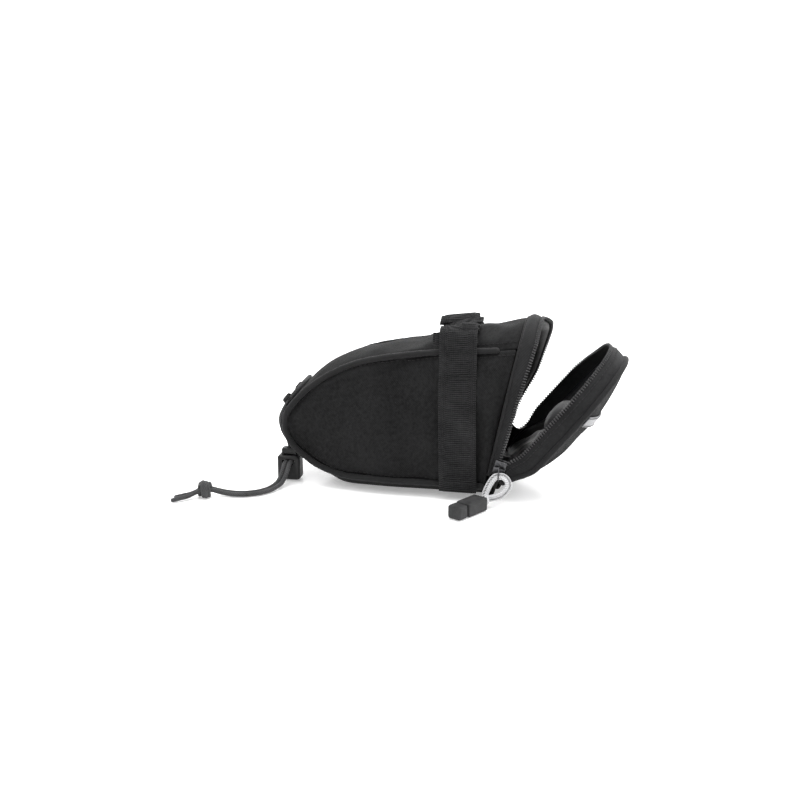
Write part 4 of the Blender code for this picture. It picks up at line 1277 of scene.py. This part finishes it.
def lid_liner(outline):
    """The crumpled lining of the lid, which starts clear of the bag's rim and of the closed slider."""
    rows = []
    for r in range(26):
        share = 1.0 - 0.97 * r / 25
        row = []
        for y, height in outline:
            here_y, here_h = y * share * 0.975, mix(LID_CENTRE, height, share * 0.975)
            edge_depth = 0.0012 + 0.0062 * ease((y + 0.004) / 0.024) * ease((height - 0.014) / 0.024)
            edge_depth += 0.0044 * hump(height, 0.011, 0.022) * ease(-y / 0.030)
            depth = mix(LID_DEPTH - 0.0030, edge_depth, ease((share - 0.80) / 0.20))
            depth = min(depth, lid_depth(height) - 0.0022 + (1 - share) * 0.012)
            point = Vector((here_y, here_h, 0.0))
            wrinkle = noise.noise(point * 75) + 0.7 * noise.noise(point * 150 + Vector((3, 0, 0)))
            row.append(lid_place(here_y, here_h, depth - 0.0016 * (1 + wrinkle) * math.sin(math.pi * share)))
        rows.append(row)
    liner = sheet("lid_liner", rows, LINING, "lid", thickness=LINER_WALL, wrap=True,
                  offset=0.0)
    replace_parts(liner, "lid_lining")


def rounded(value):
    """A cosine or sine, squared off a little."""
    return math.copysign(abs(value) ** 0.8, value)


def lid_pouch():
    """The full pocket inside the lid, with its hem."""
    rows = []
    for r in range(19):
        share = 1.0 - 0.985 * r / 18
        full = math.sqrt(max(0.0, 1 - share ** 2.6))
        row = []
        for turn in (2 * math.pi * c / 72 for c in range(72)):
            y = POUCH_HALF_Y * share * rounded(math.cos(turn))
            height = POUCH_CENTRE + POUCH_HALF_HEIGHT * share * rounded(math.sin(turn))
            fold = 0.0007 * noise.noise(Vector((y * 130, height * 130, 2.0))) * full
            row.append(lid_place(y, height, 0.0098 - 0.0086 * full - fold))
        rows.append(row)
    pouch = sheet("lid_pouch", rows, POCKET, "lid", thickness=LINING_WALL, wrap=True,
                  outside=lambda p: -LID_OUT)
    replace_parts(pouch, "lid_pocket")
    hem = [a.lerp(b, 0.3) for a, b in zip(rows[0], rows[1])]
    tube("pouch_hem", hem, 0.0008, TRIM, "lid", sides=10, closed=True, wobble=0.15)


def build_lid():
    outline = lid_outline(144)
    lid_band()
    safety_strip(lid_cover(outline))
    lid_liner(outline)
    lid_pouch()


# ---------------------------------------------------------------- hinge

def gusset(side, name):
    """The cloth that folds in beside the mouth between the bag and the lid."""
    def spot(t, share):
        body_spot = on_rim(side * (MOUTH_HALF - 0.0010), mix(-0.0050, 0.0185, t), -0.0008)
        lid_spot = lid_rim(side * (MOUTH_HALF - 0.0014), mix(-0.0040, 0.0225, t), 0.0022)
        fold = math.sin(math.pi * share) * t
        uneven = 0.0007 * noise.noise(Vector((share * 3, t * 3, side * 5.0)))
        inward = Vector((0.0, side * (0.0050 * fold + uneven), 0.0016 * fold))
        return body_spot.lerp(lid_spot, share) - inward

    rows = grid(18, 20, spot)
    web = sheet("gusset_" + name, rows, LINING, None, thickness=GUSSET_WALL, offset=0.0)
    on_rim(0.0, 0.016)
    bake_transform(web)


def hinge_lining():
    """The cloth along the bottom of the mouth, which dips between the bag and the lid."""
    dip = smooth_route(flat([
        (0.0545, 0.0215), (0.0540, 0.0175), (0.0548, 0.0135), (0.0562, 0.0106), (0.0588, 0.0100),
        (0.0612, 0.0118), (0.0632, 0.0150), (0.0650, 0.0185),
    ]), 21)
    places = [mix(-0.0355, 0.0375, c / 40) for c in range(41)]
    rows = []
    for point in dip:
        lifts = [0.0005 * noise.noise(Vector((y * 110, point.x * 300, 1.0))) for y in places]
        rows.append([point + Vector((0.0, y, lift)) for y, lift in zip(places, lifts)])
    lining = sheet("hinge_lining", rows, LINING, None, thickness=LINING_WALL, offset=0.0)
    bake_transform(lining)


def fold_strip():
    """The outer cloth that the lid folds on, an arc under the hinge."""
    def spot(t, share):
        turn = math.radians(mix(172, 342, t))
        round_by = 0.0043 + 0.0006 * hump(t, 0.75, 0.20)
        y = mix(-0.0385, 0.0385, share)
        ripple_x = 0.0003 * noise.noise(Vector((y * 90, turn * 2, 0.0)))
        return HINGE + Vector((round_by * math.cos(turn) + ripple_x, y, round_by * math.sin(turn)))

    rows = grid(24, 32, spot)
    strip = sheet("fold_strip", rows, CLOTH, None, thickness=LID_BAND_WALL, offset=0.0)
    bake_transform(strip)
    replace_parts(strip, "hinge_strip")


def rear_apron():
    """The lower edge of the hinge cloth, from under the bag to the hinge."""
    profile = smooth_route(flat([(0.0490, 0.0006), (0.0522, 0.0014), (0.0548, 0.0042), (0.0553, 0.0088)]), 12)
    rows = [[p + Vector((0.0, mix(-0.0345, 0.0345, c / 24), 0.0)) for c in range(25)] for p in profile]
    apron = sheet("rear_apron", rows, CLOTH, "bag", offset=0.0)
    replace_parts(apron, "hinge_apron")


def build_hinge():
    gusset(-1, "left")
    gusset(1, "right")
    hinge_lining()
    fold_strip()
    rear_apron()


# ---------------------------------------------------------------- straps and tabs

def strap_clearance(z):
    """How far the bag's side bulges past a straight line under the strap at a height."""
    front, rear = (side_y(x, z) for x in STRAP_X)
    return max(side_y(mix(*STRAP_X, t / 6), z) - mix(front, rear, t / 6) for t in range(7))


def strap_edge(side, x, skew, twist):
    """One long edge of a rail strap, from the foot of the side, up over the rail and down onto the top.
    skew leans its loop forward or back, and twist turns the loop."""
    turned = twist * (x - sum(STRAP_X) / 2) / (STRAP_X[1] - STRAP_X[0]) * 2
    half = WEBBING / 2 + GAP + FABRIC / 2
    beside_piping = PIPING_R + GAP + WEBBING / 2 + 0.0006
    low_y = base_half(share_at(BASE_POINTS, x)) + beside_piping
    points = [Vector((x + STRAP_SLANT, low_y, z)) for z in (STRAP_LOW_Z, BASE_Z, 0.0125)]
    for z in (0.019, 0.032, 0.046, 0.060, 0.072, 0.082, 0.0915):
        here = x + STRAP_SLANT * (1 - z / STRAP_TOP_Z)
        points.append(Vector((here, side_y(here, z) + strap_clearance(z) + half + 0.0008, z)))
    high_y = top_half(share_at(TOP_POINTS, x)) + beside_piping
    points.append(Vector((x, high_y, 0.0970)))
    points.append(Vector((x + skew * 0.2, high_y, 0.1020)))
    centre_y, radius = high_y - LOOP_WIDTH / 2, LOOP_WIDTH / 2
    for i in range(6):
        turn = math.pi * (0.08 + 0.84 * i / 5)
        points.append(Vector((
            x + skew - 0.6 * abs(turned), centre_y + turned + radius * math.cos(turn),
            STRAP_TOP_Z - 0.0055 + 0.0055 * math.sin(turn) + 0.12 * turned,
        )))
    sewn_z = max(top_z(x, centre_y - radius + 0.001), top_z(x, centre_y - radius - 0.007))
    points.append(Vector((x + skew * 0.3, centre_y - radius - 0.0006, sewn_z + half + 0.0022)))
    points.append(Vector((x, centre_y - radius - 0.0050, sewn_z + half + 0.0008)))
    end_y = centre_y - radius - 0.0100
    points.append(Vector((x, end_y, max(sewn_z, top_z(x, end_y)) + half + 0.0004)))
    return [Vector((p.x, side * p.y, p.z)) for p in smooth_route(points, 160)]


def webbing(name, edge_a, edge_b, thickness, ribs=RIB_HEIGHT, pitch=RIB_PITCH, columns=17):
    """Woven webbing between two long edges, with its cross ribs, rounded sides and both faces modelled."""
    middle = [(a + b) / 2 for a, b in zip(edge_a, edge_b)]
    total = length_of(middle)
    count = int(total / pitch * 5) + 1
    left, right = evenly(edge_a, count), evenly(edge_b, count)
    rows = []
    for i in range(count):
        after, before = min(count - 1, i + 1), max(0, i - 1)
        ahead = left[after] + right[after] - left[before] - right[before]
        normal = (right[i] - left[i]).cross(ahead).normalized()
        place = total * i / (count - 1)
        wave = math.sin(2 * math.pi * place / pitch)
        row = []
        for face in (1, -1):
            for c in range(columns):
                t = c / (columns - 1)
                t = t if face > 0 else 1 - t
                off_middle = abs(2 * t - 1)
                rounding = 1 - 0.55 * off_middle ** 6 - 0.30 * hump(off_middle, 0.875, 0.10)
                lift = face * (thickness / 2 * rounding + ribs * wave * rounding)
                row.append(left[i].lerp(right[i], t) + normal * lift)
        rows.append(row)
    piece = sheet(name, rows, WEB, "bag", thickness=0.0, wrap=True, levels=0)
    cap_ends(piece, len(rows), len(rows[0]))
    return piece


def cap_ends(piece, count, width):
    """Closes the two cut ends of a flat tube."""
    shape = bmesh.new()
    shape.from_mesh(piece.data)
    shape.verts.ensure_lookup_table()
    for start in (0, (count - 1) * width):
        for c in range(width // 2 - 1):
            a, b = start + c, start + c + 1
            c_far, d_far = start + width - 2 - c, start + width - 1 - c
            shape.faces.new([shape.verts[k] for k in (a, b, c_far, d_far)])
    bmesh.ops.recalc_face_normals(shape, faces=shape.faces)
    shape.to_mesh(piece.data)
    shape.free()
    piece.data.shade_smooth()


STRAP_FOLD = [
    (0.0262, 0.1030), (0.0268, 0.1080), (0.0240, 0.1128), (0.0180, 0.1135), (0.0120, 0.1095),
    (0.0100, 0.1040),
]
STRAP_TAIL = [(0.0246, 0.1000), (0.0250, 0.1042), (0.0238, 0.1082)]
TAB_PROFILE = [
    (-0.0058, -0.0013), (-0.0034, -0.0010), (-0.0025, 0.0016), (0.0, 0.0029), (0.0025, 0.0016),
    (0.0034, -0.0010), (0.0058, -0.0013),
]
BARTACK_HEIGHTS = (0.0135, 0.0165, 0.0890, 0.0915)
BARTACK_STITCHES = 10


def loose_webbing(name, side, places, outline, thickness, steps):
    """A loose length of webbing over the top of a strap, along an outline of (y, z) points."""
    edges = [smooth_route([Vector((x, side * y, z)) for y, z in outline], steps) for x in places]
    webbing(name, *edges, thickness)


def hook_patch(side, name):
    y = top_half(0.7) + PIPING_R + GAP + WEBBING + GAP + 0.0008
    edges = []
    for x, drop in ((STRAP_X[0] - 0.0030, 0.0020), (STRAP_X[1] - 0.0030, 0.0)):
        edges.append([
            Vector((x, side * (y - 0.0042 - 0.0006 * math.sin(k)), mix(0.1015, 0.1100, k / 8) - drop))
            for k in range(9)
        ])
    pad = webbing("hook_patch_" + name, *edges, 0.0012, ribs=0.00008, pitch=0.0009)
    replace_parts(pad, "strap_patch_" + name)


def bartacks(side, name, strap):
    """Rows of close stitches that hold the strap to the bag."""
    outer = surface_of(strap)
    matrices = []
    for z in BARTACK_HEIGHTS:
        for k in range(BARTACK_STITCHES):
            share = k / (BARTACK_STITCHES - 1)
            x = mix(STRAP_X[0] + 0.0015, STRAP_X[1] - 0.0015, share) + STRAP_SLANT * (1 - z / STRAP_TOP_Z)
            spot, normal = outer.find_nearest(Vector((x, side * 0.060, z)))[:2]
            up = normal if normal.y * side > 0 else -normal
            ahead = (Vector((1.0, 0.0, 0.0)) - up * up.x).normalized()
            matrices.append(placed(ahead, up.cross(ahead), up, spot + up * STITCH_LIFT))
    many("bartack_" + name, STITCH, matrices, THREAD, "bag")


def elastic_tab(side, name):
    """The small webbing loop at the nose that holds the elastic."""
    middle = Vector((-0.0880, side * 0.0165, 0.0565))
    slope = Vector((0.62, 0.0, 0.78)).normalized()
    normal = Vector((-0.78, 0.0, 0.62)).normalized()
    edges = []
    for shift in (-0.0030, 0.0030):
        line = [middle + slope * shift + normal * up + Vector((0.0, y, 0.0)) for y, up in TAB_PROFILE]
        edges.append(smooth_route(line, 40))
    tab = webbing("elastic_tab_" + name, *edges, 0.0009, ribs=0.0001, pitch=0.0012)
    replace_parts(tab, "nose_tab_" + name)


def build_straps():
    for side, name, skew, twist in ((-1, "left", 0.0, 0.0), (1, "right", -0.0020, 0.0045)):
        strap = webbing("strap_" + name, *[strap_edge(side, x, skew, twist) for x in STRAP_X], WEBBING)
        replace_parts(strap, "rail_strap_" + name)
        if side < 0:
            near_half = (STRAP_X[0] + 0.0125, STRAP_X[1])
            loose_webbing("strap_fold_" + name, side, near_half, STRAP_FOLD, WEBBING * 0.9, 60)
        tail_edges = (STRAP_X[0] - 0.0046, STRAP_X[0] + 0.006)
        loose_webbing("strap_tail_" + name, side, tail_edges, STRAP_TAIL, 0.0013, 30)
        hook_patch(side, name)
        bartacks(side, name, strap)
        elastic_tab(side, name)


# ---------------------------------------------------------------- cords

def lock_point(x, y, z):
    return LOCK_CENTRE + Vector((x, y, z))


NOSE_LEFT = [
    (-0.0902, -0.0075, 0.0175), (-0.0905, -0.0110, 0.0255), (-0.0928, -0.0165, 0.0345),
    (-0.0932, -0.0195, 0.0440), (-0.0896, -0.0195, 0.0525), (-0.0850, -0.0168, 0.0598),
    (-0.0800, -0.0105, 0.0660), (-0.0785, 0.0, 0.0678),
]
NOSE_RIGHT = [
    (-0.0800, 0.0105, 0.0660), (-0.0855, 0.0160, 0.0600), (-0.0912, 0.0170, 0.0525),
    (-0.0946, 0.0165, 0.0440), (-0.0940, 0.0145, 0.0345), (-0.0910, 0.0100, 0.0235),
    (-0.0870, 0.0020, 0.0160),
]
BESIDE = CORD_R + CORD_APART


def elastic(name, path):
    return tube(name, path, CORD_R, ELASTIC, "bag", wobble=0.05)


def nose_elastic():
    """The loop round the seatpost, from the lock up through the two nose tabs and back."""
    hole, front = LOCK_HOLE_Z, -LOCK_HALF_Y + GAP
    points = [lock_point(-BESIDE, front, hole), lock_point(-BESIDE, 0.0, hole)]
    points.append(lock_point(-BESIDE, 0.0060, hole + 0.0004))
    points += [Vector(p) for p in NOSE_LEFT + NOSE_RIGHT]
    points.append(lock_point(BESIDE, 0.0100, hole + 0.0010))
    points += [lock_point(BESIDE, y, hole) for y in (0.0050, 0.0, front)]
    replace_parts(elastic("nose_elastic", smooth_route(points, 220)), "elastic_loop")


TAIL_ROUTE = [
    (-0.0880, -0.0236, 0.0134), (-0.0881, -0.0262, 0.0128), (-0.0884, -0.0300, 0.0098),
    (-0.0892, -0.0335, 0.0060), (-0.0904, -0.0380, 0.0034), (-0.0922, -0.0430, 0.0024),
    (-0.0952, -0.0490, 0.0019), (-0.1000, -0.0545, 0.0018), (-0.1070, -0.0585, 0.0018),
    (-0.1140, -0.0598, 0.0018), (-0.1205, -0.0600, 0.0022), (-0.1262, -0.0612, 0.0036),
    (-0.1300, -0.0630, 0.0050), (-0.1360, -0.0660, 0.0050),
]
KNOT_CENTRE = Vector((-0.1333, -0.0650, 0.0052))
KNOT_AXIS = Vector((-0.90, -0.43, -0.02)).normalized()


def tail_route(side):
    """The centreline of one elastic tail, through the knot to its cut end."""
    middle = [Vector(p) for p in TAIL_ROUTE]
    route = []
    for i, point in enumerate(middle):
        ahead = ahead_at(middle, i)
        across = Vector((-ahead.y, ahead.x, 0.0)).normalized()
        route.append(point + across * (side * BESIDE))
    bend = Vector((-0.1430, -0.0702 - side * 0.0024, 0.0026))
    tip = Vector((-0.1508, -0.0764 - side * 0.0032, 0.0018))
    route += [Vector((-0.1392, -0.0678 - side * 0.0018, 0.0040)), bend, (bend + tip) / 2, tip]
    return smooth_route(route, 120)


FRAY_HAIRS = 26
FRAY_ROOT_R = 0.00013
FRAY_TIP_R = 0.00003


def frayed_end(name, path):
    """Loose threads at the cut end of a tail."""
    tip, ahead = path[-1], (path[-1] - path[-3]).normalized()
    hairs = []
    for _ in range(FRAY_HAIRS):
        lean = Vector((random.uniform(-1, 1), random.uniform(-1, 1), random.uniform(-0.6, 0.9))) * 0.55
        direction = (ahead + lean).normalized()
        start = tip - ahead * 0.0006 + (lean - ahead * lean.dot(ahead)) * 0.0018
        start.z = max(start.z, 0.0004)
        stop = start + direction * random.uniform(0.0014, 0.0034)
        stop.z = max(stop.z, 0.0003)
        up = direction.orthogonal().normalized()
        hairs.append(placed(stop - start, up, direction.cross(up), start))
    hair = ([], [[0, 4, 5, 1], [1, 5, 6, 2], [2, 6, 7, 3], [3, 7, 4, 0], [3, 2, 1, 0], [4, 7, 6, 5]])
    for x, r in ((0.0, FRAY_ROOT_R), (1.0, FRAY_TIP_R)):
        for k in range(4):
            turn = math.pi * k / 2
            hair[0].append(Vector((x, r * math.cos(turn), r * math.sin(turn))))
    return many("frayed_" + name, hair, hairs, FRAY, "bag")


def knot_turn(number, shift):
    """One turn of the knot, wound round both tails."""
    side_way = KNOT_AXIS.orthogonal().normalized()
    rise = KNOT_AXIS.cross(side_way)
    wrap = []
    for k in range(70):
        t = k / 69
        turn = 2 * math.pi * 1.35 * t + 0.7 + number
        radius = 0.0039 * ease(min(t, 1 - t) / 0.16) + (0.0013 if number == 2 else 0.0006)
        slide = mix(-0.0016, 0.0016, t) + shift * 0.8
        squeeze = 1.0 - 0.12 * math.cos(2 * turn)
        point = KNOT_CENTRE + KNOT_AXIS * slide
        point += (side_way * math.cos(turn) + rise * math.sin(turn)) * radius * squeeze
        point.z = max(point.z, CORD_R + 0.0002)
        wrap.append(point)
    piece = elastic("knot_turn_%d" % number, wrap)
    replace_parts(piece, "cord_knot")
    return piece


def build_tails():
    knot = [knot_turn(number, shift) for number, shift in ((1, -0.0022), (2, 0.0006), (3, 0.0030))]
    for side, name in ((-1, "left"), (1, "right")):
        path = tail_route(side)
        tail = elastic("tail_" + name, path)
        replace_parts(tail, "elastic_tail_" + name, "tail_end_" + name)
        on_it = [frayed_end(name, path)] + (knot if side < 0 else [])
        round(length_of(path), 3)


PULL_HANG = Vector((0.0, -0.62, -0.785)).normalized()
PULL_PIVOT = Vector((0.059032, -0.0438, 0.023574))
GRIP_ENTRY = Vector((0.049, -0.056, 0.005))
GRIP_END = Vector((0.0345, -0.0795, 0.005))
PULL_RISE = [(0.0510, -0.0518, 0.0080), (0.0523, -0.0500, 0.0122), (0.0546, -0.0480, 0.0165)]
PULL_FALL = [
    (0.0648, -0.0482, 0.0176), (0.0658, -0.0494, 0.0142), (0.0636, -0.0508, 0.0104),
    (0.0590, -0.0524, 0.0074),
]


STRAND_R = 0.00122
STRAND_OFFSET = 0.00105


def twin_strand(name, path, facing):
    """Two braided strands that run side by side. facing is the direction that both can be seen from."""
    outline = []
    for apart, first, last in ((STRAND_OFFSET, -142, 142), (-STRAND_OFFSET, 38, 322)):
        for turn in (math.radians(mix(first, last, k / 10)) for k in range(11)):
            outline.append((apart + STRAND_R * math.cos(turn), STRAND_R * math.sin(turn)))
    count = len(path)
    rows = []
    for i, point in enumerate(path):
        ahead = ahead_at(path, i).normalized()
        across = ahead.cross(facing).normalized()
        up = across.cross(ahead)
        rows.append([point + across * x + up * y for x, y in outline])
    head = [path[0] + (p - path[0]) * 0.02 for p in rows[0]]
    tail = [path[-1] + (p - path[-1]) * 0.02 for p in rows[-1]]
    return sheet(name, [head, *rows, tail], REFLECTIVE, "pull", thickness=0.0, wrap=True,
                 outside=lambda p: p - min(path, key=lambda q: (q - p).length))


def build_pull_cord():
    """The cord loop from the grip, through the pull tab and back."""
    top = PULL_PIVOT + PULL_HANG * 0.0051
    axis = (GRIP_END - GRIP_ENTRY).normalized()
    across = Vector((-axis.y, axis.x, 0.0))
    start = GRIP_ENTRY + across * 0.0021 - axis * GAP
    finish = GRIP_ENTRY - across * 0.0021 - axis * GAP
    points = [start, start - axis * 0.0020]
    points += [Vector(p) for p in PULL_RISE]
    points += [top + Vector((-0.0022, -0.0002, -0.0005)), top, top + Vector((0.0030, -0.0002, 0.0))]
    points += [Vector(p) for p in PULL_FALL]
    points += [finish - axis * 0.0020, finish]
    path = smooth_route(points, 130)
    cord = twin_strand("pull_loop", path, Vector((0.15, -0.90, 0.45)).normalized())
    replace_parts(cord, "pull_cord")
    round(length_of(path), 3)


# ---------------------------------------------------------------- fittings kept from the CAD model

KEPT = {
    "base_board": PLASTIC,
    "cord_lock_barrel": PLASTIC, "cord_lock_plunger": PLASTIC, "lock_spring": STEEL, "zip_slider": STEEL,
    "pull_tab": STEEL, "grip_sleeve": GRIP, "grip_cap": GRIP,
}


def dress_kept():
    for name, material in KEPT.items():
        item = bpy.data.objects[name]
        item.data.materials.clear()
        item.data.materials.append(material)


# ---------------------------------------------------------------- floor, light and camera

FLOOR_HALF = 3.0
WHITE = (1.0, 1.0, 1.0, 1.0)
STUDIO_LIGHTS = (
    ("key", (-0.45, -0.70, 0.90), (0.0, 0.0, 0.05), 0.6, 3.5),
    ("top", (0.05, 0.20, 1.20), (0.0, 0.0, 0.05), 1.2, 22.0),
    ("rim", (0.80, 0.10, 0.50), (0.05, 0.0, 0.06), 0.4, 4.0),
)


def turn_to(item, place, aim):
    """Sets a lamp or camera at a place and turns it to another."""
    item.location = place
    item.rotation_euler = (Vector(aim) - Vector(place)).to_track_quat("-Z", "Y").to_euler()


def studio_plane(name, corners, grey, glow):
    """One plain pale plane, whose material shines a little. Gives its shader too."""
    mesh = bpy.data.meshes.new(name)
    mesh.from_pydata(corners, [], [(0, 1, 2, 3)])
    plane = place_in_scene(name, mesh)
    material, _, shader = node_tree("studio_" + name)
    shader.inputs["Base Color"].default_value = (grey, grey, grey, 1.0)
    shader.inputs["Emission Color"].default_value = WHITE
    shader.inputs["Emission Strength"].default_value = glow
    mesh.materials.append(material)
    return shader


def build_stage():
    half, z = FLOOR_HALF, -0.0002
    floor = [(-half, -half, z), (half, -half, z), (half, half, z), (-half, half, z)]
    shader = studio_plane("floor", floor, 0.92, 0.30)
    shader.inputs["Roughness"].default_value = 0.18
    shader.inputs["Specular IOR Level"].default_value = 0.35
    world = bpy.data.worlds.new("studio")
    bpy.context.scene.world = world
    world.use_nodes = True
    background = world.node_tree.nodes["Background"]
    background.inputs["Color"].default_value = WHITE
    background.inputs["Strength"].default_value = 0.75
    studio_plane("backdrop", [(-4, 2.0, -0.5), (4, 2.0, -0.5), (4, 2.0, 3.5), (-4, 2.0, 3.5)], 0.9, 1.0)
    for name, place, aim, size, power in STUDIO_LIGHTS:
        lamp = bpy.data.lights.new(name, "AREA")
        lamp.size = size
        lamp.energy = power
        turn_to(place_in_scene(name, lamp), place, aim)


def build_camera():
    camera = bpy.data.cameras.new("camera")
    camera.lens = LENS
    camera.sensor_width = 36.0
    camera.clip_start = 0.01
    item = place_in_scene("camera", camera)
    turn_to(item, EYE, AIM)
    bpy.context.scene.camera = item
    bpy.context.scene.view_settings.view_transform = "Standard"


build_camera()
build_stage()
nose_elastic()
build_tails()
build_pull_cord()
build_body()
body_zip_band()
body_lining()
build_lid()
build_hinge()
build_straps()
dress_kept()
